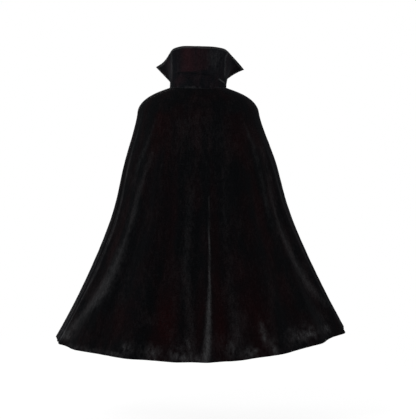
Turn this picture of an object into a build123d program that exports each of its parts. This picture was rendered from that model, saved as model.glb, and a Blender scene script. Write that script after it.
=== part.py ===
from build123d import *
from math import asin, cos, degrees, exp, radians, sin, sqrt
import os

# Full-length stand-collar cape in velvet, hanging from the shoulders.
# Millimetres, +Z up. The back of the cape faces +Y and the wearer's left is +X.
# The origin is the middle of the neck opening, level with the neck seam at the centre back.
# Angles run round the body from the centre back (0) through the wearer's left (90) to the throat (180).

# ---- cloth and clearances
VELVET = 1.4                # thickness of the cape cloth
COLLAR_CLOTH = 1.2          # thickness of each collar face
BUCKRAM = 0.8               # thickness of the collar stiffener
TAPE = 0.8                  # thickness of the neck tape
LAYER_GAP = 0.2             # air between two layers of one body
SEAM_GAP = 0.8              # air between the back panel and a front panel at the side seam
SEAT_GAP = 0.4              # air between the collar and the edge of a panel sewn round it
FIT_TOLERANCE = 0.02        # how near the fitted surfaces pass to their points

# ---- neck seam
NECK_HALF = 93.0            # half width of the neck ring, outside the collar
NECK_DEPTH = 83.0           # half depth of the neck ring
NECK_SIDE_RISE = 11.0       # how far the seam climbs over the sides of the neck
THROAT_DROP = 48.0          # how far the seam falls at the throat

# ---- shoulders
SHOULDER_HALF = 195.0       # half width over the points of the shoulders
SHOULDER_BACK = 128.0       # depth from the middle to the shoulder blades
SHOULDER_FRONT = 116.0      # depth from the middle to the chest
SHOULDER_SIDE_Z = -69.0     # height where the sides turn down
BLADE_DROP = 31.0           # how much lower that turn is at the back
CHEST_DROP = 61.0           # how much lower it is at the chest
SHOULDER_SLOPE = 0.455      # share of the shoulder's fall that is a straight slope
SHOULDER_ROUND = 3.4        # power that rounds the rest over the point of the shoulder

# ---- skirt
HEM_LEFT_HALF = 466.0       # half width at the hem, wearer's left
HEM_RIGHT_HALF = 480.0      # half width at the hem, wearer's right
HEM_BACK_DEPTH = 290.0
HEM_FRONT_DEPTH = 240.0
HEM_BACK_Z = -852.0         # height of the hem at the centre back
HEM_LEFT_Z = -807.0
HEM_RIGHT_Z = -774.0
HEM_FRONT_Z = -806.0
CURL_LEFT = 0.58            # how much of the flare waits for the lower part, wearer's left
CURL_RIGHT = 0.38
TURN_SOFTNESS = 0.035       # share of the skirt over which the shoulder eases into the flare
SQUARENESS = 0.045          # how far the diagonals stand out from an ellipse
ELBOW_PUSH = 13.0           # how far the arms push the sides out, at its most
ELBOW_SHARE = 0.23          # how far down the skirt that is
ELBOW_SPREAD = 0.16

# ---- front edges
EDGE_ANGLE_NECK = 5.5       # degrees from the centre front to each front edge at the throat
EDGE_ANGLE_HEM = 7.3        # the same at the hem
FACING_ANGLE = 13.0         # width of each front facing, in degrees round the body
FACING_HEM_LEVEL = 0.965    # level of the lower end of a facing
FACING_NECK_LEVEL = -0.95   # level of its upper end, just below the neck seam

# ---- collar
COLLAR_END_ANGLE = 175.0    # where each end of the collar stops, measured from the centre back
COLLAR_LAP = 3.0            # how far the collar reaches below the neck seam
COLLAR_TOP_LEFT = [         # the top edge, from the centre back to the point of each wing
    (0.0, 84.0, 136.0),
    (60.0, 79.0, 134.5),
    (82.0, 66.0, 128.5),
    (93.0, 44.0, 118.0),
    (104.0, 21.0, 105.0),
    (118.0, -4.0, 93.0),
    (141.0, -32.0, 82.0),
]
COLLAR_TOP_RIGHT = [
    (0.0, 84.0, 136.0),
    (-60.0, 80.0, 133.0),
    (-88.0, 68.0, 128.5),
    (-99.0, 48.0, 124.0),
    (-112.0, 24.0, 113.0),
    (-132.0, -4.0, 94.5),
    (-153.0, -30.0, 73.0),
]
RIGHT_EDGE_BOW = 20.0       # how far the right front edge bows up, halfway along it
BOW_START = 0.54            # share of the right half of the collar where that bow begins

# ---- neck tape, loop, label
TAPE_END_ANGLE = 156.0
TAPE_ABOVE_SEAM = 4.0
TAPE_BELOW_SEAM = 9.0
LOOP_HALF_WIDTH = 21.0
LOOP_BAND = 7.0             # width of the loop's tape
LOOP_DROP = 24.0            # how far the loop hangs below its hinge
LOOP_THICKNESS = 1.2
LABEL_ANGLE = 44.0          # where the label is sewn, round from the centre back
LABEL_WIDTH = 28.0
LABEL_DROP = 38.0
LABEL_THICKNESS = 0.8
FLIP_Z = -9.5               # height of the line that the loop and label turn about, at the back
BODY_GAP = 0.6              # air between pieces that move past each other

# ---- hook and eye
WIRE = 1.2
HOOK_LENGTH = 24.0          # from the middle of the throat to the sewing rings
HOOK_LEG_GAP = 3.2          # distance between the hook's two legs, and between hook and bill
BILL_REACH = 2.0            # how far the bend of the hook passes the middle
BILL_RETURN = 6.0
EYE_HALF_HEIGHT = 3.4
WIRE_BEND = 1.4
SEWING_RING = 2.2
HOOK_ABOVE_SEAM_END = 5.0   # height of the hook above the lowest point of the neck seam

# ---- side hinge lines
HINGE_STANDOFF = 4.0        # how far the swing line lies outside the side seam

# Soft folds that run down the skirt. Each is a ridge: angle where it starts, angle at the hem,
# half width in degrees, height at the hem, and the share of the skirt where it starts.
FOLDS = [
    (57.0, 64.0, 4.6, 13.0, 0.06),
    (40.0, 50.0, 6.0, 17.0, 0.05),
    (27.0, 26.5, 5.0, 11.0, 0.02),
    (15.0, 8.5, 3.8, 10.0, 0.04),
    (-7.0, -3.4, 3.2, 15.0, 0.20),
    (-20.0, -15.5, 4.4, 12.0, 0.03),
    (-34.0, -31.0, 5.2, 13.0, 0.03),
    (-47.0, -49.0, 4.6, 11.0, 0.05),
    (-60.0, -69.0, 5.2, 16.0, 0.05),
    (106.0, 108.0, 5.5, 13.0, 0.08),
    (126.0, 127.0, 6.0, 15.0, 0.08),
    (150.0, 147.0, 6.0, 13.0, 0.08),
    (-105.0, -106.0, 5.5, 14.0, 0.08),
    (-128.0, -125.0, 6.0, 13.0, 0.08),
    (-149.0, -148.0, 6.0, 14.0, 0.08),
]

COLUMNS_PER_DEGREE = 0.7    # grid lines of the fitted surfaces, round the body
NECK_LEVEL = -0.9995        # level of a panel's top edge, where its slope can still be measured
HEM_LEVEL = 0.9995          # level of a panel's hem
SHOULDER_ROWS = 9
SKIRT_ROWS = 20
COLLAR_COLUMNS = 72
COLLAR_ROWS = 6
COLLAR_EDGE = 0.001         # share of the collar left off at each edge, where its slope is measured
SLOPE_STEP = 0.0005         # step in level, height or share used to measure a slope
TURN_STEP = 0.02            # step in degrees used to measure a slope round the body


TOP_LEFT = Spline(*COLLAR_TOP_LEFT)
TOP_RIGHT = Spline(*COLLAR_TOP_RIGHT)


def mix(low, high, share):
    """The value that lies the given share of the way from low to high."""
    return low + (high - low) * share


def ramp(value, softness):
    """Zero well below zero and the value itself well above it, with a smooth turn between."""
    return (value + sqrt(value * value + softness * softness)) / 2


def neck_height(angle):
    """Height of the neck seam at an angle round the neck."""
    turn = radians(angle)
    return NECK_SIDE_RISE * sin(turn) ** 2 - THROAT_DROP * ((1 - cos(turn)) / 2) ** 3


def shoulder_height(angle):
    """Height where the cape turns from the shoulder into the skirt."""
    c = cos(radians(angle))
    return SHOULDER_SIDE_Z - (BLADE_DROP if c > 0 else CHEST_DROP) * c * c


def hem_height(angle):
    """Height of the hem: lowest at the back, and a little uneven from side to side."""
    turn = radians(angle)
    side = HEM_LEFT_Z if angle > 0 else HEM_RIGHT_Z
    middle = HEM_BACK_Z if cos(turn) > 0 else HEM_FRONT_Z
    return mix(middle, side, sin(turn) ** 2)


def fold_height(angle, share):
    """How far the folds stand out at an angle, where share runs from the shoulder to the hem."""
    total = 0.0
    for start_angle, hem_angle, half_width, height, start in FOLDS:
        if share <= start:
            continue
        grown = (share - start) / (1 - start)
        middle = mix(start_angle, hem_angle, grown)
        total += height * grown * exp(-(((angle - middle) / half_width) ** 2))
    return total


def cape_point(angle, level):
    """A point of the outer face. Level runs from -1 at the neck seam through 0 to 1 at the hem."""
    turn = radians(angle)
    to_left = (1 + sin(turn)) / 2
    to_back = (1 + cos(turn)) / 2
    top, turn_z, hem = neck_height(angle), shoulder_height(angle), hem_height(angle)
    out = 1.0
    if level < 0:
        out = 1 - level * level
        fall = SHOULDER_SLOPE * out + (1 - SHOULDER_SLOPE) * (1 - sqrt(1 - out ** SHOULDER_ROUND))
        z = mix(top, turn_z, fall)
    else:
        z = mix(turn_z, hem, level)
    seat = VELVET + SEAT_GAP
    across = mix(NECK_HALF + seat, SHOULDER_HALF, out)
    deep = mix(NECK_DEPTH + seat, mix(SHOULDER_FRONT, SHOULDER_BACK, to_back), out)
    share = ramp((turn_z - z) / (turn_z - hem), TURN_SOFTNESS)
    curl = mix(CURL_RIGHT, CURL_LEFT, to_left)
    flare = (1 - curl) * share + curl * share * share
    across += (mix(HEM_RIGHT_HALF, HEM_LEFT_HALF, to_left) - SHOULDER_HALF) * flare
    across += ELBOW_PUSH * exp(-(((share - ELBOW_SHARE) / ELBOW_SPREAD) ** 2))
    deep += mix(HEM_FRONT_DEPTH - SHOULDER_FRONT, HEM_BACK_DEPTH - SHOULDER_BACK, to_back) * flare
    square = 1 + SQUARENESS * sin(2 * turn) ** 2 * min(1.0, out)
    x, y = across * sin(turn) * square, deep * cos(turn) * square
    facing = Vector(sin(turn) / across, cos(turn) / deep, 0).normalized()
    return Vector(x, y, z) + facing * fold_height(angle, share)


def ease(value):
    """A step from 0 to 1 that starts and ends level."""
    value = min(1.0, max(0.0, value))
    return value * value * (3 - 2 * value)


def collar_point(share, height):
    """A point of the collar's outer face. Share runs from -1 to 1 between its two front edges."""
    angle = COLLAR_END_ANGLE * share
    turn = radians(angle)
    foot = Vector(NECK_HALF * sin(turn), NECK_DEPTH * cos(turn), neck_height(angle) - COLLAR_LAP)
    top = (TOP_LEFT if share > 0 else TOP_RIGHT) @ min(1.0, abs(share))
    bow = RIGHT_EDGE_BOW * ease((-share - BOW_START) / (1 - BOW_START)) * 4 * height * (1 - height)
    return foot + (top - foot) * height + Vector(0, 0, bow)


def inward(point, u, v, distance, step_u=TURN_STEP, step_v=SLOPE_STEP):
    """The point at (u, v), moved the given distance towards the inside of the surface."""
    along_u = point(u + step_u, v) - point(u - step_u, v)
    along_v = point(u, v + step_v) - point(u, v - step_v)
    normal = along_u.cross(along_v).normalized()
    here = point(u, v)
    if normal.dot(Vector(here.X, here.Y, 0)) > 0:
        normal = -normal
    return here + normal * distance


def cloth(outer_grid, inner_grid):
    """A closed solid between two grids of points, which are its outer and inner faces."""
    outer = Face.make_surface_from_array_of_points(outer_grid, tol=FIT_TOLERANCE)
    inner = Face.make_surface_from_array_of_points(inner_grid, tol=FIT_TOLERANCE)
    faces = [outer, inner]
    for edge in outer.edges():
        partner = min(inner.edges(), key=lambda other: (other @ 0.5 - edge @ 0.5).length)
        faces.append(Face.make_surface_from_curves(edge, partner))
    return Solid(Shell(faces))


def spread(low, high, count):
    """Evenly spaced values from low to high."""
    return [mix(low, high, i / (count - 1)) for i in range(count)]


def skirt_levels(highest, lowest):
    """Levels from the top of a panel down to its hem, closer together over the shoulder."""
    return spread(highest, 0.0, SHOULDER_ROWS)[:-1] + spread(0.0, lowest, SKIRT_ROWS)


def seam_angle(level):
    """Angle of a panel's side edge, half a seam gap from the side line."""
    at = cape_point(0, level)
    return 90 - degrees(asin(SEAM_GAP / 2 / at.Y))


def front_edge_angle(level):
    """Angle of the front edge, which runs from the throat to the hem."""
    return 180 - mix(EDGE_ANGLE_NECK, EDGE_ANGLE_HEM, (level + 1) / 2)


def panel(first_angle, last_angle, depth=0.0, thickness=VELVET, highest=NECK_LEVEL, lowest=HEM_LEVEL):
    """A panel between two edges, each given as an angle for every level."""
    widest = abs(last_angle(0) - first_angle(0))
    columns = max(5, round(widest * COLUMNS_PER_DEGREE))
    faces = []
    for inset in (depth, depth + thickness):
        grid = []
        for level in skirt_levels(highest, lowest):
            row = spread(first_angle(level), last_angle(level), columns)
            grid.append([inward(cape_point, angle, level, inset) for angle in row])
        faces.append(grid)
    return cloth(*faces)


def back_panel():
    """The whole back in one piece, from side seam to side seam."""
    return panel(lambda level: -seam_angle(level), seam_angle)


def front_panel(side):
    """One front, from the side seam to the front edge. Side is 1 on the wearer's left, -1 on the right."""
    return panel(lambda level: side * (180 - seam_angle(level)), lambda level: side * front_edge_angle(level))


def front_facing(side):
    """The strip that backs a front edge on the inside."""
    return panel(
        lambda level: side * (front_edge_angle(level) - FACING_ANGLE),
        lambda level: side * front_edge_angle(level),
        depth=VELVET + LAYER_GAP,
        thickness=COLLAR_CLOTH,
        highest=FACING_NECK_LEVEL,
        lowest=FACING_HEM_LEVEL,
    )


def collar_layer(depth, thickness):
    """One of the collar's three layers, at a depth inside its outer face."""
    faces = []
    for inset in (depth, depth + thickness):
        grid = []
        for height in spread(COLLAR_EDGE, 1 - COLLAR_EDGE, COLLAR_ROWS):
            row = spread(COLLAR_EDGE - 1, 1 - COLLAR_EDGE, COLLAR_COLUMNS)
            grid.append([inward(collar_point, share, height, inset, SLOPE_STEP) for share in row])
        faces.append(grid)
    return cloth(*faces)


def collar_inside():
    """Depth from the collar's outer face to the air inside it."""
    return COLLAR_CLOTH + LAYER_GAP + BUCKRAM + LAYER_GAP + COLLAR_CLOTH


def tape_point(angle, height):
    """A point of the neck tape's outer face, which follows the collar's slope.

    Height is in millimetres from the neck seam.
    """
    share = angle / COLLAR_END_ANGLE
    tall = collar_point(share, 1).Z - collar_point(share, 0).Z
    return inward(collar_point, share, (height + COLLAR_LAP) / tall, collar_inside() + LAYER_GAP, SLOPE_STEP)


def neck_tape():
    """The tape that covers the neck seam on the inside."""
    columns = round(TAPE_END_ANGLE * COLUMNS_PER_DEGREE)
    faces = []
    for inset in (0.0, TAPE):
        grid = []
        for height in spread(TAPE_ABOVE_SEAM, -TAPE_BELOW_SEAM, 4):
            row = spread(-TAPE_END_ANGLE, TAPE_END_ANGLE, columns)
            grid.append([inward(tape_point, angle, height, inset) for angle in row])
        faces.append(grid)
    return cloth(*faces)


def tape_inner_radius_at(angle):
    """Where the lower edge of the neck tape's inner face stands at an angle."""
    edge = inward(tape_point, angle, -TAPE_BELOW_SEAM, TAPE)
    return Vector(edge.X, edge.Y, 0)


def flip_axis(angle, half_width, thickness):
    """Middle of the line that a hanging piece turns about, and the direction inwards from the tape."""
    turn = radians(angle)
    inwards = -Vector(sin(turn) / NECK_HALF, cos(turn) / NECK_DEPTH, 0).normalized()
    centre = tape_inner_radius_at(angle)
    reach = degrees(asin(half_width / NECK_HALF))
    edges = [tape_inner_radius_at(angle - reach), tape_inner_radius_at(angle + reach)]
    bow = max((edge - centre).dot(inwards) for edge in edges)
    place = centre + inwards * (bow + BODY_GAP + thickness / 2)
    return Vector(place.X, place.Y, FLIP_Z + neck_height(angle)), inwards


def hung_plate(outline, angle, half_width, thickness):
    """A flat piece that hangs inside the neck, from an outline drawn about its hinge line."""
    place, inwards = flip_axis(angle, half_width, thickness)
    plane = Plane(origin=place, x_dir=Vector(0, 0, 1).cross(inwards), z_dir=inwards)
    return extrude(plane * outline, thickness / 2, both=True)


def hanging_loop():
    """A loop of flat tape at the centre back."""
    outer = Pos(0, -LOOP_DROP / 2) * Rectangle(2 * LOOP_HALF_WIDTH, LOOP_DROP)
    gap_width = 2 * (LOOP_HALF_WIDTH - LOOP_BAND)
    gap_height = LOOP_DROP - LOOP_BAND
    outline = outer - Pos(0, -gap_height / 2) * Rectangle(gap_width, gap_height)
    corners = outline.vertices().sort_by(Axis.Y)[:2]
    outline = fillet(corners, LOOP_BAND / 2)
    return hung_plate(outline, 0, LOOP_HALF_WIDTH, LOOP_THICKNESS)


def care_label():
    """A small blank label sewn in by its top edge, beside the loop."""
    outline = Pos(0, -LABEL_DROP / 2) * Rectangle(LABEL_WIDTH, LABEL_DROP)
    return hung_plate(outline, LABEL_ANGLE, LABEL_WIDTH / 2, LABEL_THICKNESS)


def hook_place():
    """Height of the hook's middle line, and where its wire lies inside the collar."""
    height = neck_height(COLLAR_END_ANGLE) - COLLAR_LAP + HOOK_ABOVE_SEAM_END
    inside = collar_inside()
    reach = degrees(asin((HOOK_LENGTH + SEWING_RING + WIRE / 2) / (NECK_HALF - inside)))
    share = (180 - reach) / COLLAR_END_ANGLE
    top = HOOK_ABOVE_SEAM_END + EYE_HALF_HEIGHT + 2 * SEWING_RING + WIRE
    tall = collar_point(share, 1).Z - collar_point(share, 0).Z
    faces = [inward(collar_point, side * share, top / tall, inside, SLOPE_STEP) for side in (1, -1)]
    return max(face.Y for face in faces) + LAYER_GAP + WIRE / 2, height


def bent_wire(points, bend):
    """A round wire through the points, with an arc at each corner."""
    path = FilletPolyline(*points, radius=bend)
    return sweep(Plane(origin=path @ 0, z_dir=path % 0) * Circle(WIRE / 2), path)


def sewing_rings(x, y, z, half_height):
    """The two wire rings that the thread goes through."""
    rings = Torus(SEWING_RING, WIRE / 2, rotation=(90, 0, 0))
    return [Pos(x, y, z + half_height) * rings, Pos(x, y, z - half_height) * rings]


def throat_hook():
    """The hook of the throat fastening, sewn to the wearer's left end of the collar."""
    y, z = hook_place()
    half = HOOK_LEG_GAP / 2
    inner_y = y + HOOK_LEG_GAP
    ring_x = HOOK_LENGTH
    leg_end = ring_x - SEWING_RING
    points = [
        (leg_end, y, z + half),
        (-BILL_REACH, y, z + half),
        (-BILL_REACH, inner_y, z + half),
        (BILL_RETURN, inner_y, z + half),
        (BILL_RETURN, inner_y, z - half),
        (-BILL_REACH, inner_y, z - half),
        (-BILL_REACH, y, z - half),
        (leg_end, y, z - half),
    ]
    wire = bent_wire(points, WIRE_BEND)
    for ring in sewing_rings(ring_x, y, z, half + SEWING_RING):
        wire = wire + ring
    return wire


def throat_eye():
    """The eye of the throat fastening, sewn to the wearer's right end of the collar."""
    y, z = hook_place()
    y += HOOK_LEG_GAP / 2
    ring_x = -HOOK_LENGTH
    tip = -BILL_REACH + WIRE + LAYER_GAP
    points = [
        (ring_x + SEWING_RING, y, z + EYE_HALF_HEIGHT),
        (tip, y, z + EYE_HALF_HEIGHT),
        (tip, y, z - EYE_HALF_HEIGHT),
        (ring_x + SEWING_RING, y, z - EYE_HALF_HEIGHT),
    ]
    wire = bent_wire(points, WIRE_BEND)
    for ring in sewing_rings(ring_x, y, z, EYE_HALF_HEIGHT + SEWING_RING):
        wire = wire + ring
    return wire


def swing_line(side):
    """Two points of the line that a front swings about: over the shoulder and at the hem."""
    shoulder = cape_point(side * 90, 0)
    hem = cape_point(side * 90, HEM_LEVEL)
    out = Vector(side * HINGE_STANDOFF, 0, 0)
    return Vector(shoulder.X, 0, shoulder.Z) + out, Vector(hem.X, 0, hem.Z) + out


def build():
    """Every piece of the cape, by name."""
    collar_depth = COLLAR_CLOTH + LAYER_GAP
    return {
        "back_panel": back_panel(),
        "front_panel_left": front_panel(1),
        "front_panel_right": front_panel(-1),
        "front_facing_left": front_facing(1),
        "front_facing_right": front_facing(-1),
        "collar_outer": collar_layer(0.0, COLLAR_CLOTH),
        "collar_stiffener": collar_layer(collar_depth, BUCKRAM),
        "collar_inner": collar_layer(collar_depth + BUCKRAM + LAYER_GAP, COLLAR_CLOTH),
        "neck_tape": neck_tape(),
        "hanging_loop": hanging_loop(),
        "care_label": care_label(),
        "throat_hook": throat_hook(),
        "throat_eye": throat_eye(),
    }


os.makedirs("parts", exist_ok=True)
for name, piece in build().items():
    export_step(piece, f"parts/{name}.step")
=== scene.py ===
# %% [markdown]
# # A velvet cape with a stand-up collar
# The cape is black pile velvet that hangs from the shoulders to the calves. Its collar is two faces of
# velvet with buckram between them, and it stands round the neck and turns out into two points.
# A cloth simulation could drape it, but each fold would then fall where it likes. So every piece below
# is a sheet that is worked out as a surface of two numbers: an angle round the body and a level between
# the neck seam and the hem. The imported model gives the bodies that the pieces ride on.

# %% Load the frame
import bpy
import numpy as np
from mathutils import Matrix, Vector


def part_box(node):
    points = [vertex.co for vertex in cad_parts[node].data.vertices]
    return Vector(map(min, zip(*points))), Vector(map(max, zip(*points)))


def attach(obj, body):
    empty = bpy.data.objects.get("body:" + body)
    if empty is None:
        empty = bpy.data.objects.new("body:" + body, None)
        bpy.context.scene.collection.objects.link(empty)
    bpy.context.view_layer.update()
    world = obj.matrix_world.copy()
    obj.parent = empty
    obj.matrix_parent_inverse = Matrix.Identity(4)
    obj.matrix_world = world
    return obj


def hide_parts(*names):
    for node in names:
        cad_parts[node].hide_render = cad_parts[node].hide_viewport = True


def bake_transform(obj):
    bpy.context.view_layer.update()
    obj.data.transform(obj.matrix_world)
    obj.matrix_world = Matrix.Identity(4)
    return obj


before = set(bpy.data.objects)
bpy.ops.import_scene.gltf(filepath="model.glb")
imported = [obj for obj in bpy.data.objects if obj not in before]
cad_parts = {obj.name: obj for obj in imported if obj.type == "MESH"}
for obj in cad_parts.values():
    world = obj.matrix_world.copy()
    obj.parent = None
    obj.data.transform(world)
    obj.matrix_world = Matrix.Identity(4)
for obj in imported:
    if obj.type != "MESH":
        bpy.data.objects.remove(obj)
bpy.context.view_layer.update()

# %% [markdown]
# ## Measures of the cape
# A pattern cutter starts from the neck ring, the shoulders and the sweep of the hem. The same few
# measures drive every sheet, so that the collar, the panels and the facings meet along their seams.
# The unit is the metre, the back of the cape faces +Y and the wearer's left is +X. The three steps at
# the end are the small distances over which a surface's slope is measured.

# %% Measures
NECK_HALF, NECK_DEPTH = 0.093, 0.083
NECK_SIDE_RISE, THROAT_DROP = 0.011, 0.048
SHOULDER_HALF, SHOULDER_BACK, SHOULDER_FRONT = 0.195, 0.128, 0.116
SHOULDER_SIDE_Z, BLADE_DROP, CHEST_DROP = -0.069, 0.031, 0.061
SHOULDER_SLOPE, SHOULDER_ROUND = 0.455, 3.4
HEM_LEFT_HALF, HEM_RIGHT_HALF = 0.466, 0.480
HEM_BACK_DEPTH, HEM_FRONT_DEPTH = 0.290, 0.240
HEM_BACK_Z, HEM_LEFT_Z, HEM_RIGHT_Z, HEM_FRONT_Z = -0.852, -0.807, -0.774, -0.806
CURL_LEFT, CURL_RIGHT = 0.58, 0.38
TURN_SOFTNESS, SQUARENESS = 0.035, 0.045
ELBOW_PUSH, ELBOW_SHARE, ELBOW_SPREAD = 0.013, 0.23, 0.16
VELVET, COLLAR_CLOTH, BUCKRAM, LAYER_GAP = 0.0014, 0.0012, 0.0008, 0.0002
SEAM_GAP, SEAT_GAP = 0.0008, 0.0004
CAPE_STEP, COLLAR_STEP, TAPE_STEP = (0.02, 0.0005), (0.0004, 0.0004), (0.02, 0.0004)
print("skirt, neck to hem at the back:", round(-HEM_BACK_Z, 3), "m")

# %% [markdown]
# ## Small tools for numbers
# Folds and wrinkles need smooth steps and smooth random values. The noise here is a grid of seeded
# random heights with an eased blend between them, so that each run gives the same cloth.

# %% Number helpers


def mix(low, high, share):
    """The value that lies the given share of the way from low to high."""
    return low + (high - low) * share


def ramp(value, softness):
    """Zero well below zero and the value itself well above it: half of the value plus its soft size."""
    return (value + np.sqrt(value * value + softness * softness)) / 2


def ease(value):
    """A step from 0 to 1 that starts and ends level: three squares less two cubes."""
    t = np.clip(value, 0.0, 1.0)
    return t * t * (3 - 2 * t)


def bump(value):
    """A soft ridge of height 1 about zero: e to the power of minus the square."""
    return np.exp(-np.square(value))


NOISE_SIZE = 128


def soft_noise(u, v, seed):
    """Smooth random heights from -1 to 1, one new value for each whole step of u and v."""
    heights = np.random.default_rng(seed).uniform(-1, 1, (NOISE_SIZE, NOISE_SIZE))
    u, v = np.broadcast_arrays(np.asarray(u, float), np.asarray(v, float))
    i, j = np.floor(u).astype(int), np.floor(v).astype(int)
    a, b = ease(u - i), ease(v - j)
    i0, i1, j0, j1 = i % NOISE_SIZE, (i + 1) % NOISE_SIZE, j % NOISE_SIZE, (j + 1) % NOISE_SIZE
    near = mix(heights[i0, j0], heights[i1, j0], a)
    far = mix(heights[i0, j1], heights[i1, j1], a)
    return mix(near, far, b)


print("noise at five places:", soft_noise(np.linspace(0, 4, 5), 0, 1).round(2).tolist())

# %% [markdown]
# ## Folds
# Real cloth of this cut has more width at the hem than the body needs, so the spare width hangs in long
# soft folds that start below the shoulder blades. Each fold is a ridge whose angle and height change on
# the way down. They could be sculpted by hand, but as a list they can be read and moved one by one.
# Finer folds and the unevenness of handled cloth come from noise, since nobody would place those.

# %% Folds
# angle at its start, angle at the hem, half width in degrees, height at the hem, where it starts
FOLDS = [
    (57.0, 64.0, 4.6, 0.013, 0.06),
    (40.0, 50.0, 6.0, 0.017, 0.05),
    (27.0, 26.5, 5.0, 0.011, 0.02),
    (15.0, 8.5, 3.8, 0.010, 0.04),
    (-7.0, -3.4, 3.2, 0.015, 0.20),
    (-20.0, -15.5, 4.4, 0.012, 0.03),
    (-34.0, -31.0, 5.2, 0.013, 0.03),
    (-47.0, -49.0, 4.6, 0.011, 0.05),
    (-60.0, -69.0, 5.2, 0.016, 0.05),
    (106.0, 108.0, 5.5, 0.013, 0.08),
    (126.0, 127.0, 6.0, 0.015, 0.08),
    (150.0, 147.0, 6.0, 0.013, 0.08),
    (-105.0, -106.0, 5.5, 0.014, 0.08),
    (-128.0, -125.0, 6.0, 0.013, 0.08),
    (-149.0, -148.0, 6.0, 0.014, 0.08),
]


def fold_height(angle, share):
    """The sum of the fold ridges at an angle. Each grows in a straight line from its start to the hem."""
    total = np.zeros(np.broadcast(angle, share).shape)
    for start_angle, hem_angle, half_width, height, start in FOLDS:
        grown = np.clip((share - start) / (1 - start), 0, None)
        middle = mix(start_angle, hem_angle, grown)
        total += height * grown * bump((angle - middle) / half_width)
    return total


def small_folds(angle, share):
    """Finer folds between the main ones, and the slight unevenness of cloth that hangs free."""
    swing = soft_noise(share * 2.2 + 7, angle / 22, 3) * 3.0
    slim = soft_noise((angle + swing) / 4.2 + 60, share * 1.3, 11) * 0.0030 * ease((share - 0.04) / 0.5)
    fine = soft_noise((angle + swing) / 1.9 + 60, share * 4.0, 12) * 0.0009 * ease((share - 0.02) / 0.3)
    crush = soft_noise(angle / 1.1 + 60, share * 42, 13) * 0.00035
    return slim + fine + crush


print("folds:", len(FOLDS), "highest:", max(fold[3] for fold in FOLDS), "m at the hem")

# %% [markdown]
# ## Neck seam, shoulder turn and hem
# Three rings carry the cape: the neck seam, the line where the shoulder turns down and the hem. None of
# them is level on a body. Each height is a short formula of the angle, because then the panels, the
# collar and the tape all find the same seam.

# %% Heights of the three rings


def neck_height(turn):
    """Height of the neck seam: it climbs over the sides of the neck and falls to the throat."""
    return NECK_SIDE_RISE * np.sin(turn) ** 2 - THROAT_DROP * ((1 - np.cos(turn)) / 2) ** 3


def turn_height(turn):
    """Height where the shoulder turns into the skirt, lower at the back and lowest at the chest."""
    drop = np.where(np.cos(turn) > 0, BLADE_DROP, CHEST_DROP)
    return SHOULDER_SIDE_Z - drop * np.cos(turn) ** 2


def hem_height(turn):
    """Height of the hem, which dips at the back and hangs a little unevenly from side to side."""
    side = np.where(turn > 0, HEM_LEFT_Z, HEM_RIGHT_Z)
    middle = np.where(np.cos(turn) > 0, HEM_BACK_Z, HEM_FRONT_Z)
    return mix(middle, side, np.sin(turn) ** 2)


print("hem heights, back to front:", hem_height(np.radians([0, 90, 180])).round(3).tolist())

# %% [markdown]
# ## The shape that the cloth hangs in
# A level from -1 to 0 goes over the shoulder, and from 0 to 1 down the skirt. The three rings are ovals,
# and the surface between them is what a dressmaker would call the block. A loft through the rings would
# do it too, but a formula also takes the folds, and any sheet can be laid at a depth inside it.

# %% Shape of the cape


def cape_shape(angle, level, worn=True):
    """The outer face at an angle in degrees and a level, as an array of points.

    The half width and the depth each go from the neck ring to the shoulder and then flare to the hem,
    the height follows the shoulder's slope and rounding and then falls evenly, and the folds push the
    result straight out from the oval.
    """
    angle, level = np.broadcast_arrays(np.asarray(angle, float), np.asarray(level, float))
    turn = np.radians(angle)
    to_left, to_back = (1 + np.sin(turn)) / 2, (1 + np.cos(turn)) / 2
    top, turn_z, hem = neck_height(turn), turn_height(turn), hem_height(turn)
    out = np.where(level < 0, 1 - level * level, 1.0)
    rounding = 1 - np.sqrt(np.clip(1 - out ** SHOULDER_ROUND, 0, None))
    fall = SHOULDER_SLOPE * out + (1 - SHOULDER_SLOPE) * rounding
    z = np.where(level < 0, mix(top, turn_z, fall), mix(turn_z, hem, level))
    seat = VELVET + SEAT_GAP
    across = mix(NECK_HALF + seat, SHOULDER_HALF, out)
    deep = mix(NECK_DEPTH + seat, mix(SHOULDER_FRONT, SHOULDER_BACK, to_back), out)
    share = ramp((turn_z - z) / (turn_z - hem), TURN_SOFTNESS)
    curl = mix(CURL_RIGHT, CURL_LEFT, to_left)
    flare = (1 - curl) * share + curl * share * share
    across = across + (mix(HEM_RIGHT_HALF, HEM_LEFT_HALF, to_left) - SHOULDER_HALF) * flare
    across = across + ELBOW_PUSH * bump((share - ELBOW_SHARE) / ELBOW_SPREAD)
    deep = deep + mix(HEM_FRONT_DEPTH - SHOULDER_FRONT, HEM_BACK_DEPTH - SHOULDER_BACK, to_back) * flare
    square = 1 + SQUARENESS * np.sin(2 * turn) ** 2 * np.clip(out, 0, 1)
    normal_x, normal_y = np.sin(turn) / across, np.cos(turn) / deep
    size = np.hypot(normal_x, normal_y)
    push = fold_height(angle, share)
    if worn:
        push = push + small_folds(angle, share)
    x = across * np.sin(turn) * square + push * normal_x / size
    y = deep * np.cos(turn) * square + push * normal_y / size
    return np.stack([x, y, z], axis=-1)


def moved_in(shape, u, v, depth, step):
    """Points of a surface moved inwards by depth, along the cross product of its two slopes.

    The product is flipped for the whole surface if most of it would otherwise move away from the body.
    """
    (step_u, step_v), depth = step, np.broadcast_to(depth, np.broadcast(u, v).shape)
    along_u = shape(u + step_u, v) - shape(u - step_u, v)
    along_v = shape(u, v + step_v) - shape(u, v - step_v)
    normal = np.cross(along_v, along_u)
    normal /= np.linalg.norm(normal, axis=-1, keepdims=True)
    here = shape(u, v)
    outward = np.sign(np.sum(normal[..., :2] * here[..., :2]))
    return here - normal * outward * depth[..., None]


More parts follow.
